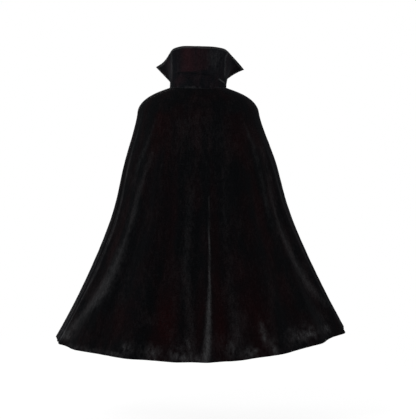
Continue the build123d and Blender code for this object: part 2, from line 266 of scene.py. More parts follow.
sample = cape_shape(np.array([0.0, 90.0, -90.0]), np.array([1.0, 1.0, 1.0]))
print("hem at the back, left and right:", sample.round(3).tolist())

# %% [markdown]
# ## From a grid of points to a mesh
# Each sheet is a grid of rows and columns, so its faces are the quads between four neighbours. The grid
# is wound so that its faces point away from the body. A UV map in metres lets a weave or a stitch
# follow the cloth, and attributes hold the crushed pile together with the painted highlights, and which
# way the pile leans.

# %% Mesh builder


def new_object(name, data, material=None):
    """An object in the scene for a mesh, a light or a camera. A mesh gets its material too."""
    obj = bpy.data.objects.new(name, data)
    bpy.context.collection.objects.link(obj)
    if material is not None:
        data.materials.append(material)
    return obj


def grid_object(name, points, material, attributes=None, facing=None):
    """A mesh of quads over an array of rows, columns and coordinates, smooth, with UVs in metres."""
    rows, columns = points.shape[:2]
    index = np.arange(rows * columns).reshape(rows, columns)
    corners = [index[:-1, :-1], index[:-1, 1:], index[1:, 1:], index[1:, :-1]]
    quads = np.stack(corners, axis=-1).reshape(-1, 4)
    flat = points.reshape(-1, 3)
    middle = (rows // 3) * (columns - 1) + columns // 2
    a, b, c = flat[quads[middle, 0]], flat[quads[middle, 1]], flat[quads[middle, 2]]
    away = np.array([a[0], a[1], 0.0]) if facing is None else np.array(facing)
    if np.dot(np.cross(b - a, c - b), away) < 0:
        quads = quads[:, ::-1]
    mesh = bpy.data.meshes.new(name)
    mesh.from_pydata(flat.tolist(), [], quads.tolist())
    across = np.linalg.norm(np.diff(points, axis=1), axis=-1)
    down = np.linalg.norm(np.diff(points, axis=0), axis=-1)
    u = np.concatenate([np.zeros((rows, 1)), np.cumsum(across, axis=1)], axis=1)
    v = np.concatenate([np.zeros((1, columns)), np.cumsum(down, axis=0)], axis=0)
    u = u - u[:, columns // 2, None]
    corner = quads.reshape(-1)
    uv = np.stack([u.reshape(-1)[corner], v.reshape(-1)[corner]], axis=-1)
    mesh.uv_layers.new(name="cloth").data.foreach_set("uv", uv.astype(np.float32).ravel())
    for key, values in (attributes or {}).items():
        layer = mesh.attributes.new(key, "FLOAT", "POINT")
        layer.data.foreach_set("value", np.broadcast_to(values, (rows, columns)).astype(np.float32).ravel())
    mesh.polygons.foreach_set("use_smooth", np.ones(len(mesh.polygons), bool))
    return new_object(name, mesh, material)


def thicken(obj, thickness, offset=-1, group=""):
    """Gives a sheet its thickness: inwards for an offset of -1, outwards for 1 and both ways for 0."""
    wall = obj.modifiers.new("thickness", "SOLIDIFY")
    wall.thickness, wall.offset, wall.use_even_offset = thickness, offset, False
    wall.vertex_group = group
    return obj


# %% [markdown]
# ## Black pile velvet
# Velvet is dark where you look down into the pile and lighter where the pile lies over and shows its
# sides. The sheen on the shader gives the light rim at grazing angles. The rest is painted on the cloth
# itself: one mask for pile that has been brushed or crushed silvery, together with painted highlights
# along the crests of folds and wrinkles, and one for pile that leans up, which shows the warm ground of the
# dye.

# %% Node helpers


def link(tree, *pairs):
    """Joins sockets, each pair from an output to an input."""
    for start, end in pairs:
        tree.links.new(start, end)


def node(tree, kind, **settings):
    """A new shader node with some of its properties and input values set."""
    made = tree.nodes.new(kind)
    for key, value in settings.items():
        if key in made.inputs:
            made.inputs[key].default_value = value
        else:
            setattr(made, key, value)
    return made


def maths(tree, operation, a, b=None, c=None, clamp=False):
    """A Math node fed with sockets or numbers. It gives back its output."""
    made = tree.nodes.new("ShaderNodeMath")
    made.operation, made.use_clamp = operation, clamp
    for place, value in enumerate((a, b, c)):
        if value is None:
            continue
        if isinstance(value, (int, float)):
            made.inputs[place].default_value = value
        else:
            tree.links.new(value, made.inputs[place])
    return made.outputs[0]


def blend_colour(tree, factor, a, b):
    """A Mix node of two colours, each a socket or a colour. It gives back its output."""
    made = tree.nodes.new("ShaderNodeMix")
    made.data_type = "RGBA"
    for place, value in ((0, factor), (6, a), (7, b)):
        if isinstance(value, (int, float)):
            made.inputs[place].default_value = value
        elif isinstance(value, tuple):
            made.inputs[place].default_value = (*value, 1)
        else:
            tree.links.new(value, made.inputs[place])
    return made.outputs[2]


def new_material(name, **inputs):
    """A material with its tree and its main shader, some of whose inputs are set."""
    material = bpy.data.materials.new(name)
    material.use_nodes = True
    shader = material.node_tree.nodes["Principled BSDF"]
    for key, value in inputs.items():
        shader.inputs[key.replace("_", " ")].default_value = value
    return material, material.node_tree, shader


def new_group(name, inputs, outputs):
    """An empty shader node group with named inputs and outputs."""
    group = bpy.data.node_groups.new(name, "ShaderNodeTree")
    for key, kind, value in inputs:
        socket = group.interface.new_socket(key, in_out="INPUT", socket_type=kind)
        if value is not None:
            socket.default_value = value
    for key, kind in outputs:
        group.interface.new_socket(key, in_out="OUTPUT", socket_type=kind)
    return group, group.nodes.new("NodeGroupInput"), group.nodes.new("NodeGroupOutput")


print("materials in the packed model:", len(bpy.data.materials))

# %% [markdown]
# ## The pile as a group of nodes
# Close up, velvet is a lawn of short fibres: a fine grain, tufts that lie in streaks down the cloth, and
# a cloudy mottle where hands have brushed it. A picture of cloth could be laid over the mesh, but noise
# at three scales does not repeat and stays sharp at any distance. It is one group, so that the cape and
# the collar share it and differ only in their ground colours, which are painted lighter on the collar.

# %% Pile group
pile_group, pile_in, pile_out = new_group(
    "velvet_pile",
    [
        ("Place", "NodeSocketVector", None),
        ("Crush And Sheen", "NodeSocketFloat", 0.0),
        ("Warmth", "NodeSocketFloat", 0.5),
        ("Cool Colour", "NodeSocketColor", (0.0012, 0.0013, 0.0016, 1)),
        ("Warm Colour", "NodeSocketColor", (0.0035, 0.0007, 0.0009, 1)),
        ("Sheen And Crush Colour", "NodeSocketColor", (0.023, 0.023, 0.024, 1)),
    ],
    [("Colour", "NodeSocketColor"), ("Rough", "NodeSocketFloat"), ("Height", "NodeSocketFloat")],
)
stretch = node(pile_group, "ShaderNodeMapping")
stretch.inputs["Scale"].default_value = (1, 1, 0.35)
stretch.inputs["Rotation"].default_value = (0.35, 0.42, 0.5)
grain = node(pile_group, "ShaderNodeTexNoise", Scale=330.0, Detail=4.0, Roughness=0.75)
tufts = node(pile_group, "ShaderNodeTexNoise", Scale=150.0, Detail=4.0, Roughness=0.7)
mottle = node(pile_group, "ShaderNodeTexNoise", Scale=26.0, Detail=5.0, Roughness=0.62)
link(
    pile_group,
    (pile_in.outputs["Place"], stretch.inputs["Vector"]),
    (pile_in.outputs["Place"], grain.inputs["Vector"]),
    (stretch.outputs["Vector"], tufts.inputs["Vector"]),
    (stretch.outputs["Vector"], mottle.inputs["Vector"]),
)
patchy = maths(pile_group, "MULTIPLY_ADD", mottle.outputs["Fac"], 1.6, -0.80)
streaky = maths(pile_group, "MULTIPLY_ADD", tufts.outputs["Fac"], 2.2, -1.10)
broken = maths(pile_group, "ADD", patchy, streaky)
edge = maths(pile_group, "MULTIPLY", broken, maths(pile_group, "ADD", pile_in.outputs["Crush And Sheen"], 0.12))
# The crushed mask also holds painted highlights, so the silver colour mixed in here is partly painted
# highlight and partly crushed pile.
crush_and_sheen = maths(pile_group, "ADD", pile_in.outputs["Crush And Sheen"], edge, clamp=True)
lean = maths(pile_group, "MULTIPLY_ADD", patchy, 0.9, pile_in.outputs["Warmth"], clamp=True)
ground = blend_colour(pile_group, lean, pile_in.outputs["Cool Colour"], pile_in.outputs["Warm Colour"])
crush_and_sheen_blend = blend_colour(pile_group, crush_and_sheen, ground, pile_in.outputs["Sheen And Crush Colour"])
speckle = maths(pile_group, "MULTIPLY_ADD", grain.outputs["Fac"], 4.2, -1.10)
shade = node(pile_group, "ShaderNodeVectorMath", operation="SCALE")
link(pile_group, (crush_and_sheen_blend, shade.inputs[0]), (speckle, shade.inputs["Scale"]))
rough = maths(pile_group, "MULTIPLY_ADD", crush_and_sheen, -0.25, 0.9)
height = maths(pile_group, "MULTIPLY_ADD", grain.outputs["Fac"], 0.4, tufts.outputs["Fac"])
link(
    pile_group,
    (shade.outputs[0], pile_out.inputs["Colour"]),
    (rough, pile_out.inputs["Rough"]),
    (height, pile_out.inputs["Height"]),
)
print("pile group:", len(pile_group.nodes), "nodes")

# %% [markdown]
# ## Two velvets
# The shader's own shine is nearly off, since the pile swallows light, and a weak bluish sheen gives the
# pale rim where the cloth turns away. The collar is cut from the same bolt, but it is handled more and
# stands in the light, so its ground colours are painted a little brighter: a lit copy of the cape's velvet.

# %% Velvet material


def velvet(name, sheen, **colours):
    """A velvet that reads its mask of crushed pile and painted highlights and its warm mask from the piece,
    and its grain from the object.
    """
    material, tree, shader = new_material(
        name, Specular_IOR_Level=0.02, Sheen_Weight=sheen, Sheen_Roughness=0.34,
        Sheen_Tint=(0.80, 0.86, 1.0, 1),
    )
    place = node(tree, "ShaderNodeTexCoord").outputs["Object"]
    pile = node(tree, "ShaderNodeGroup", node_tree=pile_group)
    for key, value in colours.items():
        pile.inputs[key.replace("_", " ").title()].default_value = (*value, 1)
    # The crushed attribute carries painted highlights as well as crushed pile.
    crush_and_sheen_mask = node(tree, "ShaderNodeAttribute", attribute_name="crush_and_sheen").outputs["Fac"]
    warm_mask = node(tree, "ShaderNodeAttribute", attribute_name="warmth").outputs["Fac"]
    relief = node(tree, "ShaderNodeBump", Strength=0.55, Distance=0.0010)
    link(
        tree,
        (place, pile.inputs["Place"]),
        (crush_and_sheen_mask, pile.inputs["Crush And Sheen"]),
        (warm_mask, pile.inputs["Warmth"]),
        (pile.outputs["Colour"], shader.inputs["Base Color"]),
        (pile.outputs["Rough"], shader.inputs["Roughness"]),
        (pile.outputs["Height"], relief.inputs["Height"]),
        (relief.outputs["Normal"], shader.inputs["Normal"]),
    )
    return material


cape_velvet = velvet("black_velvet", 0.014)
# The collar's ground colours are the cape's velvet painted lighter, for the light it stands in.
collar_velvet_painted_lit = velvet(
    "collar_velvet_painted_lit", 0.017, warm_colour=(0.0090, 0.0036, 0.0047), cool_colour=(0.0021, 0.0023, 0.0030)
)
print("velvets:", cape_velvet.name, collar_velvet_painted_lit.name)

# %% [markdown]
# ## Painted highlights and crushed pile
# The crests of the folds catch the light in long streaks, and these highlights are painted into the
# colour. Handling, folding and steaming lay the pile over in patches at the hem. They could be painted on
# an image by hand. Here each streak is a soft brush stroke through a few places on the cloth, given by
# angle and level, so that it stays sharp and keeps its place on the fold.

# %% Brush strokes


def stroke(angle, level, path):
    """How strongly a brush stroke covers each point.

    The path is a list of places from the top down, each with its angle, level, half width in degrees
    and strength. Between two places the other three change evenly with the level.
    """
    angles, levels, widths, strengths = np.array(path).T
    middle, width = np.interp(level, levels, angles), np.interp(level, levels, widths)
    strength = np.interp(level, levels, strengths, left=0.0, right=0.0)
    return strength * bump((angle - middle) / width)


def dab(angle, level, centre_angle, centre_level, half_angle, half_level, strength):
    """An oval patch that fades out evenly all round."""
    sideways, downwards = (angle - centre_angle) / half_angle, (level - centre_level) / half_level
    return strength * bump(np.hypot(sideways, downwards))


print("a stroke at its middle covers", stroke(5.0, 0.5, [(5, 0, 1, 1), (5, 1, 1, 1)]))

# %% [markdown]
# ## The marks on the cape
# The long strokes are painted highlights on the crests of the folds, where they catch the light, and
# the brightest is the sharp fold beside the centre back. The patches of crushed pile sit at the hem, where
# it was folded in its bag. Warm ground shows low on the skirt and over the shoulders. Lists keep each
# mark on a line of its own.

# %% Marks on the cape
# The streaks are painted highlights along the crests of the folds.
# angle, level, half width in degrees, strength
HIGHLIGHT_STREAKS = [
    [(36.6, 0.16, 2.0, 0.07), (43.0, 0.36, 2.2, 0.15), (44.4, 0.53, 2.8, 0.21), (47.1, 0.69, 3.8, 0.32),
     (50.1, 0.79, 4.2, 0.40), (55.3, 0.865, 3.4, 0.28), (60.5, 0.94, 3.0, 0.28), (65.3, 0.98, 2.6, 0.5)],
    [(63.5, 0.03, 1.4, 0.14), (62.5, 0.21, 1.0, 0.26), (59.8, 0.48, 0.8, 0.30), (60.8, 0.70, 0.8, 0.30),
     (66.8, 0.93, 1.0, 0.24)],
    [(-7.4, 0.33, 0.22, 0.30), (-7.1, 0.44, 0.28, 0.60), (-6.4, 0.60, 0.32, 0.75), (-5.7, 0.72, 0.50, 0.90),
     (-4.9, 0.82, 0.80, 1.0), (-3.9, 0.93, 1.05, 1.0), (-3.1, 1.0, 1.3, 1.0)],
    [(4.6, 0.30, 2.6, 0.04), (5.6, 0.48, 2.8, 0.10), (6.5, 0.60, 2.4, 0.10), (3.4, 0.82, 2.0, 0.08),
     (2.2, 0.99, 1.8, 0.16)],
    [(-18.8, 0.22, 2.2, 0.03), (-16.4, 0.45, 2.4, 0.07), (-15.8, 0.70, 2.2, 0.05), (-15.6, 0.99, 1.8, 0.14)],
    [(-56.5, 0.15, 2.8, 0.07), (-54.0, 0.38, 2.8, 0.12), (-53.4, 0.53, 3.0, 0.20), (-56.8, 0.69, 3.0, 0.26),
     (-60.3, 0.79, 2.8, 0.22), (-66.0, 0.88, 2.4, 0.08)],
    [(-42.5, 0.02, 1.8, 0.06), (-47.1, 0.12, 2.0, 0.12), (-47.2, 0.30, 2.0, 0.12), (-46.6, 0.50, 1.8, 0.05)],
    [(40.3, 0.02, 1.8, 0.06), (46.3, 0.18, 2.0, 0.12), (52.0, 0.34, 1.8, 0.03)],
    [(0.0, -0.30, 24.0, 0.01), (0.0, 0.06, 30.0, 0.05), (0.0, 0.30, 24.0, 0.01)],
]
# angle, level, half size in degrees and in level, strength
PATCHES = [
    (62.8, 0.962, 5.0, 0.022, 0.80), (47.0, 0.992, 9.0, 0.010, 0.45), (27.3, 0.962, 2.4, 0.022, 0.55),
    (31.1, 0.992, 6.0, 0.008, 0.45), (17.5, 0.972, 4.2, 0.026, 0.60), (5.6, 0.978, 4.0, 0.028, 0.85),
    (-1.0, 0.988, 1.6, 0.020, 0.75), (-12.9, 0.955, 2.0, 0.030, 0.50), (-19.8, 0.980, 3.4, 0.020, 0.75),
    (-26.4, 0.915, 1.2, 0.040, 0.65), (-28.8, 0.970, 1.4, 0.032, 0.80), (-43.8, 0.955, 6.0, 0.026, 0.62),
    (-39.0, 0.930, 2.0, 0.020, 0.45), (-58.3, 0.962, 3.0, 0.018, 0.50), (3.0, 0.935, 1.6, 0.050, 0.35),
]
# angle, level, half size in degrees and in level, strength
WARM_PATCHES = [
    (13.5, 0.86, 5.5, 0.16, 1.0), (33.0, 0.86, 11.0, 0.10, 0.62), (-9.5, 0.86, 3.2, 0.18, 0.8),
    (-26.0, 0.80, 7.5, 0.24, 0.54), (-40.0, 0.80, 6.0, 0.20, 0.42), (-1.5, 0.80, 2.6, 0.16, 0.45),
    (0.0, -0.16, 30.0, 0.24, 0.34), (35.0, 0.03, 12.0, 0.14, 0.55), (-36.0, 0.08, 14.0, 0.18, 0.50),
    (15.0, 0.50, 3.5, 0.30, 0.40), (-10.0, 0.35, 3.5, 0.30, 0.40), (52.0, 0.45, 3.5, 0.30, 0.35),
    (-41.0, 0.42, 4.0, 0.30, 0.55), (-30.0, 0.45, 5.0, 0.25, 0.35), (24.0, 0.12, 3.0, 0.16, 0.30),
]


def pile_masks(angle, level):
    """The mask of crushed pile and painted highlights, and the warmth mask, of the cape at each angle and
    level.
    """
    crush_and_sheen = np.zeros(np.broadcast(angle, level).shape)
    # The streaks paint highlights; the patches, the bruises and the handled fronts are crushed pile.
    for path in HIGHLIGHT_STREAKS:
        crush_and_sheen = np.maximum(crush_and_sheen, stroke(angle, level, path))
    torn = 0.55 + 0.75 * soft_noise(angle / 0.9 + 60 + level * 25, level * 70, 24)
    for patch in PATCHES:
        crush_and_sheen = np.maximum(crush_and_sheen, dab(angle, level, *patch) * np.clip(torn, 0, 1))
    bruises = soft_noise(angle / 5.0 + 60, level * 13, 21) * ease((level - 0.55) / 0.4)
    crush_and_sheen = crush_and_sheen + 0.06 * np.clip(bruises, 0, None)
    warmth = np.full(crush_and_sheen.shape, 0.10)
    for patch in WARM_PATCHES:
        warmth = np.maximum(warmth, dab(angle, level, *patch))
    front = ease((np.abs(angle) - 92) / 20)
    drift = soft_noise(angle / 9.0 + 60, level * 3.2, 22)
    handled = np.clip(soft_noise(angle / 2.4 + 60, level * 2.6 + 9, 23) - 0.2, 0, None)
    crush_and_sheen = crush_and_sheen + front * 0.30 * handled
    return np.clip(crush_and_sheen, 0, 1), np.clip(warmth + 0.25 * drift + 0.25 * front, 0, 1)


print("streaks:", len(HIGHLIGHT_STREAKS), "patches:", len(PATCHES), "warm patches:", len(WARM_PATCHES))

# %% [markdown]
# ## The panels of the cape
# The back is cut in one piece and each front is another. On the real cape a panel ends in a seam at the
# neck and the side and in a turned-up hem at the bottom. So the rows of each grid start with a small
# roll into the neck seam, run down the cloth, turn round the hem and come back up inside it. The
# thickness is added afterwards, towards the inside.

# %% Panel rows
SKIRT_LENGTH = 0.80
HEM_TURN = 0.0017
HEM_ALLOWANCE = 0.022
SEAM_ROLL, SEAM_ROLL_WIDTH = 0.0022, 0.0028
NECK_LEVEL = -0.9995
SHOULDER_ROWS, SKIRT_ROWS, HEM_ROWS = 34, 150, 7


def panel_rows():
    """Level and depth of each row: into the neck seam, over the shoulder, down, round the hem and up."""
    roll = SEAM_ROLL * np.array([1.0, 0.45, 0.12])
    bend = np.linspace(0, np.pi, HEM_ROWS)[1:]
    levels = [
        np.full(len(roll), NECK_LEVEL), np.linspace(NECK_LEVEL, 0, SHOULDER_ROWS)[:-1],
        np.linspace(0, 1, SKIRT_ROWS), 1 + HEM_TURN * np.sin(bend) / SKIRT_LENGTH,
        1 - np.linspace(0.1, 1, HEM_ROWS) * HEM_ALLOWANCE / SKIRT_LENGTH,
    ]
    depths = [
        roll, np.zeros(SHOULDER_ROWS - 1), np.zeros(SKIRT_ROWS), HEM_TURN * (1 - np.cos(bend)),
        np.full(HEM_ROWS, 2 * HEM_TURN),
    ]
    return np.concatenate(levels)[:, None], np.concatenate(depths)[:, None]


def seam_angle(level):
    """Angle of the back panel's side edge, half a seam gap short of the side."""
    return 90 - np.degrees(np.arcsin(SEAM_GAP / 2 / cape_shape(0, level, worn=False)[..., 1]))


def front_edge_angle(level):
    """Angle of a front edge, a little wider apart at the hem than at the throat."""
    return 180 - mix(5.5, 7.3, (level + 1) / 2)


def panel(name, first, last, columns, rows, thickness, extra_depth=0.0, rolled=(True, True)):
    """A sheet between two edges. Each edge is an angle for every level, and may roll into its seam."""
    level, depth = rows
    start, stop = first(level), last(level)
    angle = mix(start, stop, np.linspace(0, 1, columns)[None, :])
    radius = np.linalg.norm(cape_shape(90, np.clip(level, -1, 1), worn=False)[..., :2], axis=-1)
    reach = np.full(angle.shape, 1.0)
    for edge, rolls in zip((start, stop), rolled):
        if rolls:
            reach = np.minimum(reach, np.radians(np.abs(angle - edge)) * radius)
    depth = depth + extra_depth + SEAM_ROLL * 0.6 * bump(reach / SEAM_ROLL_WIDTH)
    angle, level = np.broadcast_arrays(angle, level)
    points = moved_in(cape_shape, angle, level, depth, CAPE_STEP)
    crush_and_sheen, warmth = pile_masks(angle, level)
    obj = grid_object(name, points, cape_velvet, {"crush_and_sheen": crush_and_sheen, "warmth": warmth})
    return thicken(obj, thickness)


print("at the hem, side seam and front edge:", seam_angle(1.0).round(2), front_edge_angle(1.0), "degrees")

# %% [markdown]
# ## Back and fronts
# The back hangs from side seam to side seam and each front from its side seam to the open edge. Both
# fronts are one piece of code run twice, with the side as a sign, because the pattern is cut on doubled
# cloth. Only the edges that are sewn roll inwards.

# %% Back and fronts
BACK_COLUMNS, FRONT_COLUMNS = 241, 115
rows = panel_rows()
back_cloth = panel("back_cloth", lambda v: -seam_angle(v), seam_angle, BACK_COLUMNS, rows, VELVET)
fronts = {}
for name, side in (("left", 1), ("right", -1)):
    fronts[name] = panel(
        f"front_cloth_{name}",
        lambda v, side=side: side * (180 - seam_angle(v)),
        lambda v, side=side: side * front_edge_angle(v),
        FRONT_COLUMNS, rows, VELVET, rolled=(True, False),
    )
print("back cloth:", len(back_cloth.data.polygons), "faces")

# %% [markdown]
# ## Facings
# A strip of the same velvet backs each front edge, so that the inside of the edge looks finished when
# the cape blows open. It is cut by the same function as the fronts, which lets it follow their folds a
# hair inside them, and it stops short of the hem.

# %% Facings
FACING_ANGLE, FACING_COLUMNS = 13.0, 28
facings = {}
facing_levels = np.concatenate([np.linspace(-0.95, 0, 20)[:-1], np.linspace(0, 0.965, 90)])[:, None]
for name, side in (("left", 1), ("right", -1)):
    facings[name] = panel(
        f"facing_{name}",
        lambda v, side=side: side * (front_edge_angle(v) - FACING_ANGLE),
        lambda v, side=side: side * front_edge_angle(v),
        FACING_COLUMNS, (facing_levels, np.zeros_like(facing_levels)), COLLAR_CLOTH,
        extra_depth=VELVET + LAYER_GAP, rolled=(False, False),
    )
print("facings:", ", ".join(sorted(o.name for o in facings.values())))

# %% [markdown]
# ## The collar
# The collar is a straight band sewn to the neck ring. Its top edge is stiff, so it keeps its own line:
# flat across the back of the head, round two corners and out to the points. It could be a box that is
# cut and bent, but straight lines from the neck ring up to that top edge give the surface at once, as a
# bent card would.

# %% Collar shape
COLLAR_LAP = 0.003
COLLAR_END_ANGLE = 175.0
TOP_LEFT = [
    (0.0, 0.084, 0.136), (0.060, 0.079, 0.1345), (0.082, 0.066, 0.1285), (0.093, 0.044, 0.118),
    (0.104, 0.021, 0.105), (0.118, -0.004, 0.093), (0.141, -0.032, 0.082),
]
TOP_RIGHT = [
    (0.0, 0.084, 0.136), (-0.060, 0.080, 0.133), (-0.088, 0.068, 0.1285), (-0.099, 0.048, 0.124),
    (-0.112, 0.024, 0.113), (-0.132, -0.004, 0.0945), (-0.153, -0.030, 0.073),
]
RIGHT_EDGE_BOW, BOW_START = 0.020, 0.54


def through(points, share):
    """A smooth curve through given points, each reached in step with the distance along them.

    Between two points it is a cubic whose slopes are those of the chord past each point.
    """
    place = np.array(points)
    gaps = np.linalg.norm(np.diff(place, axis=0), axis=1)
    at = np.concatenate([[0], np.cumsum(gaps)]) / gaps.sum()
    slope = np.gradient(place, at, axis=0)
    k = np.clip(np.searchsorted(at, share, side="right") - 1, 0, len(at) - 2)
    width = (at[k + 1] - at[k])[..., None]
    t = ((share - at[k]) / (at[k + 1] - at[k]))[..., None]
    start, stop = place[k], place[k + 1]
    h0, h1 = 2 * t**3 - 3 * t**2 + 1, t**3 - 2 * t**2 + t
    h2, h3 = 3 * t**2 - 2 * t**3, t**3 - t**2
    return h0 * start + h1 * width * slope[k] + h2 * stop + h3 * width * slope[k + 1]


def collar_plain(share, height):
    """The collar's outer face without its wrinkles. Share runs from -1 to 1 between the front edges."""
    share, height = np.broadcast_arrays(np.asarray(share, float), np.asarray(height, float))
    turn = np.radians(COLLAR_END_ANGLE * share)
    foot = np.stack(
        [NECK_HALF * np.sin(turn), NECK_DEPTH * np.cos(turn), neck_height(turn) - COLLAR_LAP], axis=-1
    )
    along = np.abs(share)
    top = np.where(share[..., None] > 0, through(TOP_LEFT, along), through(TOP_RIGHT, along))
    bow = RIGHT_EDGE_BOW * ease((-share - BOW_START) / (1 - BOW_START)) * 4 * height * (1 - height)
    lift = np.stack([np.zeros_like(bow), np.zeros_like(bow), bow], axis=-1)
    return mix(foot, top, height[..., None]) + lift


top_corner = collar_plain(np.array([-1.0, 1.0]), np.array([1.0, 1.0]))
print("points of the collar, right and left:", top_corner.round(3).tolist())

# %% [markdown]
# ## Wrinkles of the collar
# The collar has been folded once, so a crease runs across its back, and a thumb has left a short slanting
# wrinkle. The turned edge stands up a little, and the cloth is gathered at the foot. All of them push
# the surface outwards in the mesh itself, because a bump in the shader would leave the outline straight.

# %% Wrinkles of the collar
CREASE_Z, CREASE_RIGHT, CREASE_LEFT, CREASE_FADE = 0.047, -0.058, 0.082, 0.02
CREASE_STEP, CREASE_LIP = 0.0026, 0.0013
PINCH_X, PINCH_Z, PINCH_RUN, PINCH_FALL, PINCH_BOW, PINCH_HEIGHT = 0.067, 0.031, 0.88, 0.48, 4.5, 0.0030
COLLAR_DEPTH = 2 * COLLAR_CLOTH + BUCKRAM + 2 * LAYER_GAP


def collar_edges(share, height):
    """Distance in metres from each place to the nearest of the top and front edges."""
    here = collar_plain(share, height)
    top = np.linalg.norm(collar_plain(share, 1.0) - here, axis=-1)
    side = np.linalg.norm(collar_plain(np.sign(share) * 1.0, height) - here, axis=-1)
    return np.minimum(top, np.where(np.abs(share) > 0.5, side, 1.0)), here


def pinch_place(x, z):
    """Distance across and along the short slanting wrinkle at the lower right of the collar.

    Both are the sideways and upward distances from its start, turned by its slope, and it bows a little.
    """
    sideways, upwards = -x - PINCH_X, z - PINCH_Z
    along = sideways * PINCH_RUN - upwards * PINCH_FALL
    return sideways * PINCH_FALL + upwards * PINCH_RUN - PINCH_BOW * (along - 0.012) ** 2, along


def collar_relief(share, height):
    """How far the cloth stands out: the turned edge, the crease across the back and some buckles."""
    edge, here = collar_edges(share, height)
    x, z = here[..., 0], here[..., 2]
    back = ease((here[..., 1] + 0.01) / 0.03)
    rim = 0.0007 * bump((edge - 0.0035) / 0.0028) - 0.0006 * bump((edge - 0.0078) / 0.0012)
    above = z - CREASE_Z - 0.004 * np.sin((x - 0.01) * 34)
    across = ease((x - CREASE_RIGHT) / CREASE_FADE) * ease((CREASE_LEFT - x) / CREASE_FADE) * back
    step = CREASE_STEP * (ease(above / 0.006 + 0.5) - 1) * bump(above / 0.030) * across
    step = step * ease((z - 0.010) / 0.012)
    lip = CREASE_LIP * bump((above - 0.004) / 0.0035) * across
    down, along = pinch_place(x, z)
    pinch = PINCH_HEIGHT * bump(down / 0.0034) * back
    pinch = pinch * ease((along + 0.003) / 0.008) * ease((0.028 - along) / 0.010)
    buckle = 0.0016 * soft_noise(share * 9 + 20, height * 2.2, 31) * ease(edge / 0.02) * ease(height / 0.2)
    gather = 0.0004 * (1 + soft_noise(share * 60 + 90, height * 3.0, 32)) * bump(height / 0.12)
    return rim + step + lip + pinch + buckle + gather


def collar_face(share, height):
    """The collar's outer face with its wrinkles, pushed out level from the middle of the neck."""
    here = collar_plain(share, height)
    flat = here[..., :2] / np.linalg.norm(here[..., :2], axis=-1, keepdims=True)
    push = collar_relief(share, height)[..., None] * flat
    return here + np.concatenate([push, np.zeros_like(push[..., :1])], axis=-1)


print("collar at the back:", collar_face(0.0, 1.0).round(4).tolist(), "thick:", round(COLLAR_DEPTH, 4))

# %% [markdown]
# ## The collar's pile
# A light line runs just inside the collar's top and front edges. Painted highlights run down its two
# corners, where the collar turns away from view, and along the crest of the slanting wrinkle low on one
# side, and the pile is crushed in patches along the neck seam. Across the middle of the back the pile
# stands up and the warm ground shows. The masks are painted by where a place is in the room, since they
# follow where the light catches and what touched the collar, and not its weave.

# %% Collar pile


def collar_masks(share, height):
    """Where the collar has crushed pile and painted highlights, and where it shows its warm ground. The
    strongest mark wins.
    """
    edge, here = collar_edges(share, height)
    x, z = here[..., 0], here[..., 2]
    back = ease((here[..., 1] + 0.005) / 0.02)
    seam_patches = ease(soft_noise(share * 42 + 50, height * 26, 41) * 1.5 + 0.35)
    down, along = pinch_place(x, z)
    # A painted highlight along the crest of the slanting wrinkle.
    wrinkle_highlight = bump((down - 0.001) / 0.0021) * ease((along + 0.003) / 0.006) * ease((0.027 - along) / 0.008)
    # The two corner lines are painted sheen, where the collar turns away from view.
    left_sheen_line = 0.0865 + 0.10 * np.clip(z - 0.100, 0, 1) - 0.0045 * bump((z - 0.128) / 0.012)
    right_sheen_line = -0.0885 - 0.0110 * ease((z - 0.098) / 0.028)
    # A light line just inside the top and front edges.
    light_edge_line = 0.85 * bump((edge - 0.0052) / 0.0015)
    neck_seam = 0.34 * bump((z - 0.003) / 0.004) * seam_patches * back
    rubbed = 0.26 * bump((x + 0.058) / 0.022) * bump((z - 0.098) / 0.036) * back
    left_corner_sheen = 0.36 * bump((x - left_sheen_line) / 0.0026) * ease((z - 0.02) / 0.03)
    right_corner_sheen = 0.50 * bump((x - right_sheen_line) / 0.0024) * ease((z - 0.035) / 0.02)
    # This mask holds the painted highlights together with the crushed pile.
    crush_and_sheen = [light_edge_line, neck_seam, 0.95 * wrinkle_highlight * back, rubbed, left_corner_sheen, right_corner_sheen]
    spread = 0.024 + 0.12 * np.clip(0.085 - z, 0, 1)
    warm_middle = 0.95 * bump((x - 0.030) / spread) * ease((z - 0.050) / 0.008) * back
    warm_beside = 0.55 * bump((x + 0.012) / 0.024) * ease((z - 0.052) / 0.012) * back
    warm_below = 0.40 * bump((x - 0.058) / 0.026) * bump((z - 0.030) / 0.016) * back
    warmth = np.maximum.reduce([warm_middle, warm_beside, warm_below])
    drift = soft_noise(share * 12 + 40, height * 3.5, 42)
    return np.clip(np.maximum.reduce(crush_and_sheen), 0, 1), np.clip(warmth + 0.14 * drift, 0, 1)


edge_crush_and_sheen, _ = collar_masks(np.array([0.9, 1.0]), np.array([0.5, 0.5]))
print("crushed inside the front edge and on it:", edge_crush_and_sheen.round(2).tolist())

# %% [markdown]
# ## The two faces of the collar
# Each face is a layer of velvet. Near the top and front edges both turn in on a quarter round and thin
# out, until they meet in the middle of the collar's depth, as the two halves of a turned edge do. Their
# columns crowd together at the edges, because the quarter round needs them there.

# %% Collar layers
EDGE_ROUND, EDGE_SEAM, EDGE_THINNEST = 0.0024, 0.0004, 0.25
END_GAP = 0.0005
near_edge = 1 - np.linspace(0, 1, 14)[1:][::-1] ** 2 * 0.07
collar_shares = np.concatenate([np.linspace(-0.93, 0.93, 190), near_edge, -near_edge, [1.0, -1.0]])
collar_shares = np.unique(collar_shares)[None, :] * (1 - END_GAP)
collar_heights = np.concatenate([np.linspace(0, 0.90, 60)[:-1], 1 - np.linspace(1, 0, 16) ** 2 * 0.10])
collar_heights = np.clip(collar_heights, END_GAP, 1 - END_GAP)[:, None]


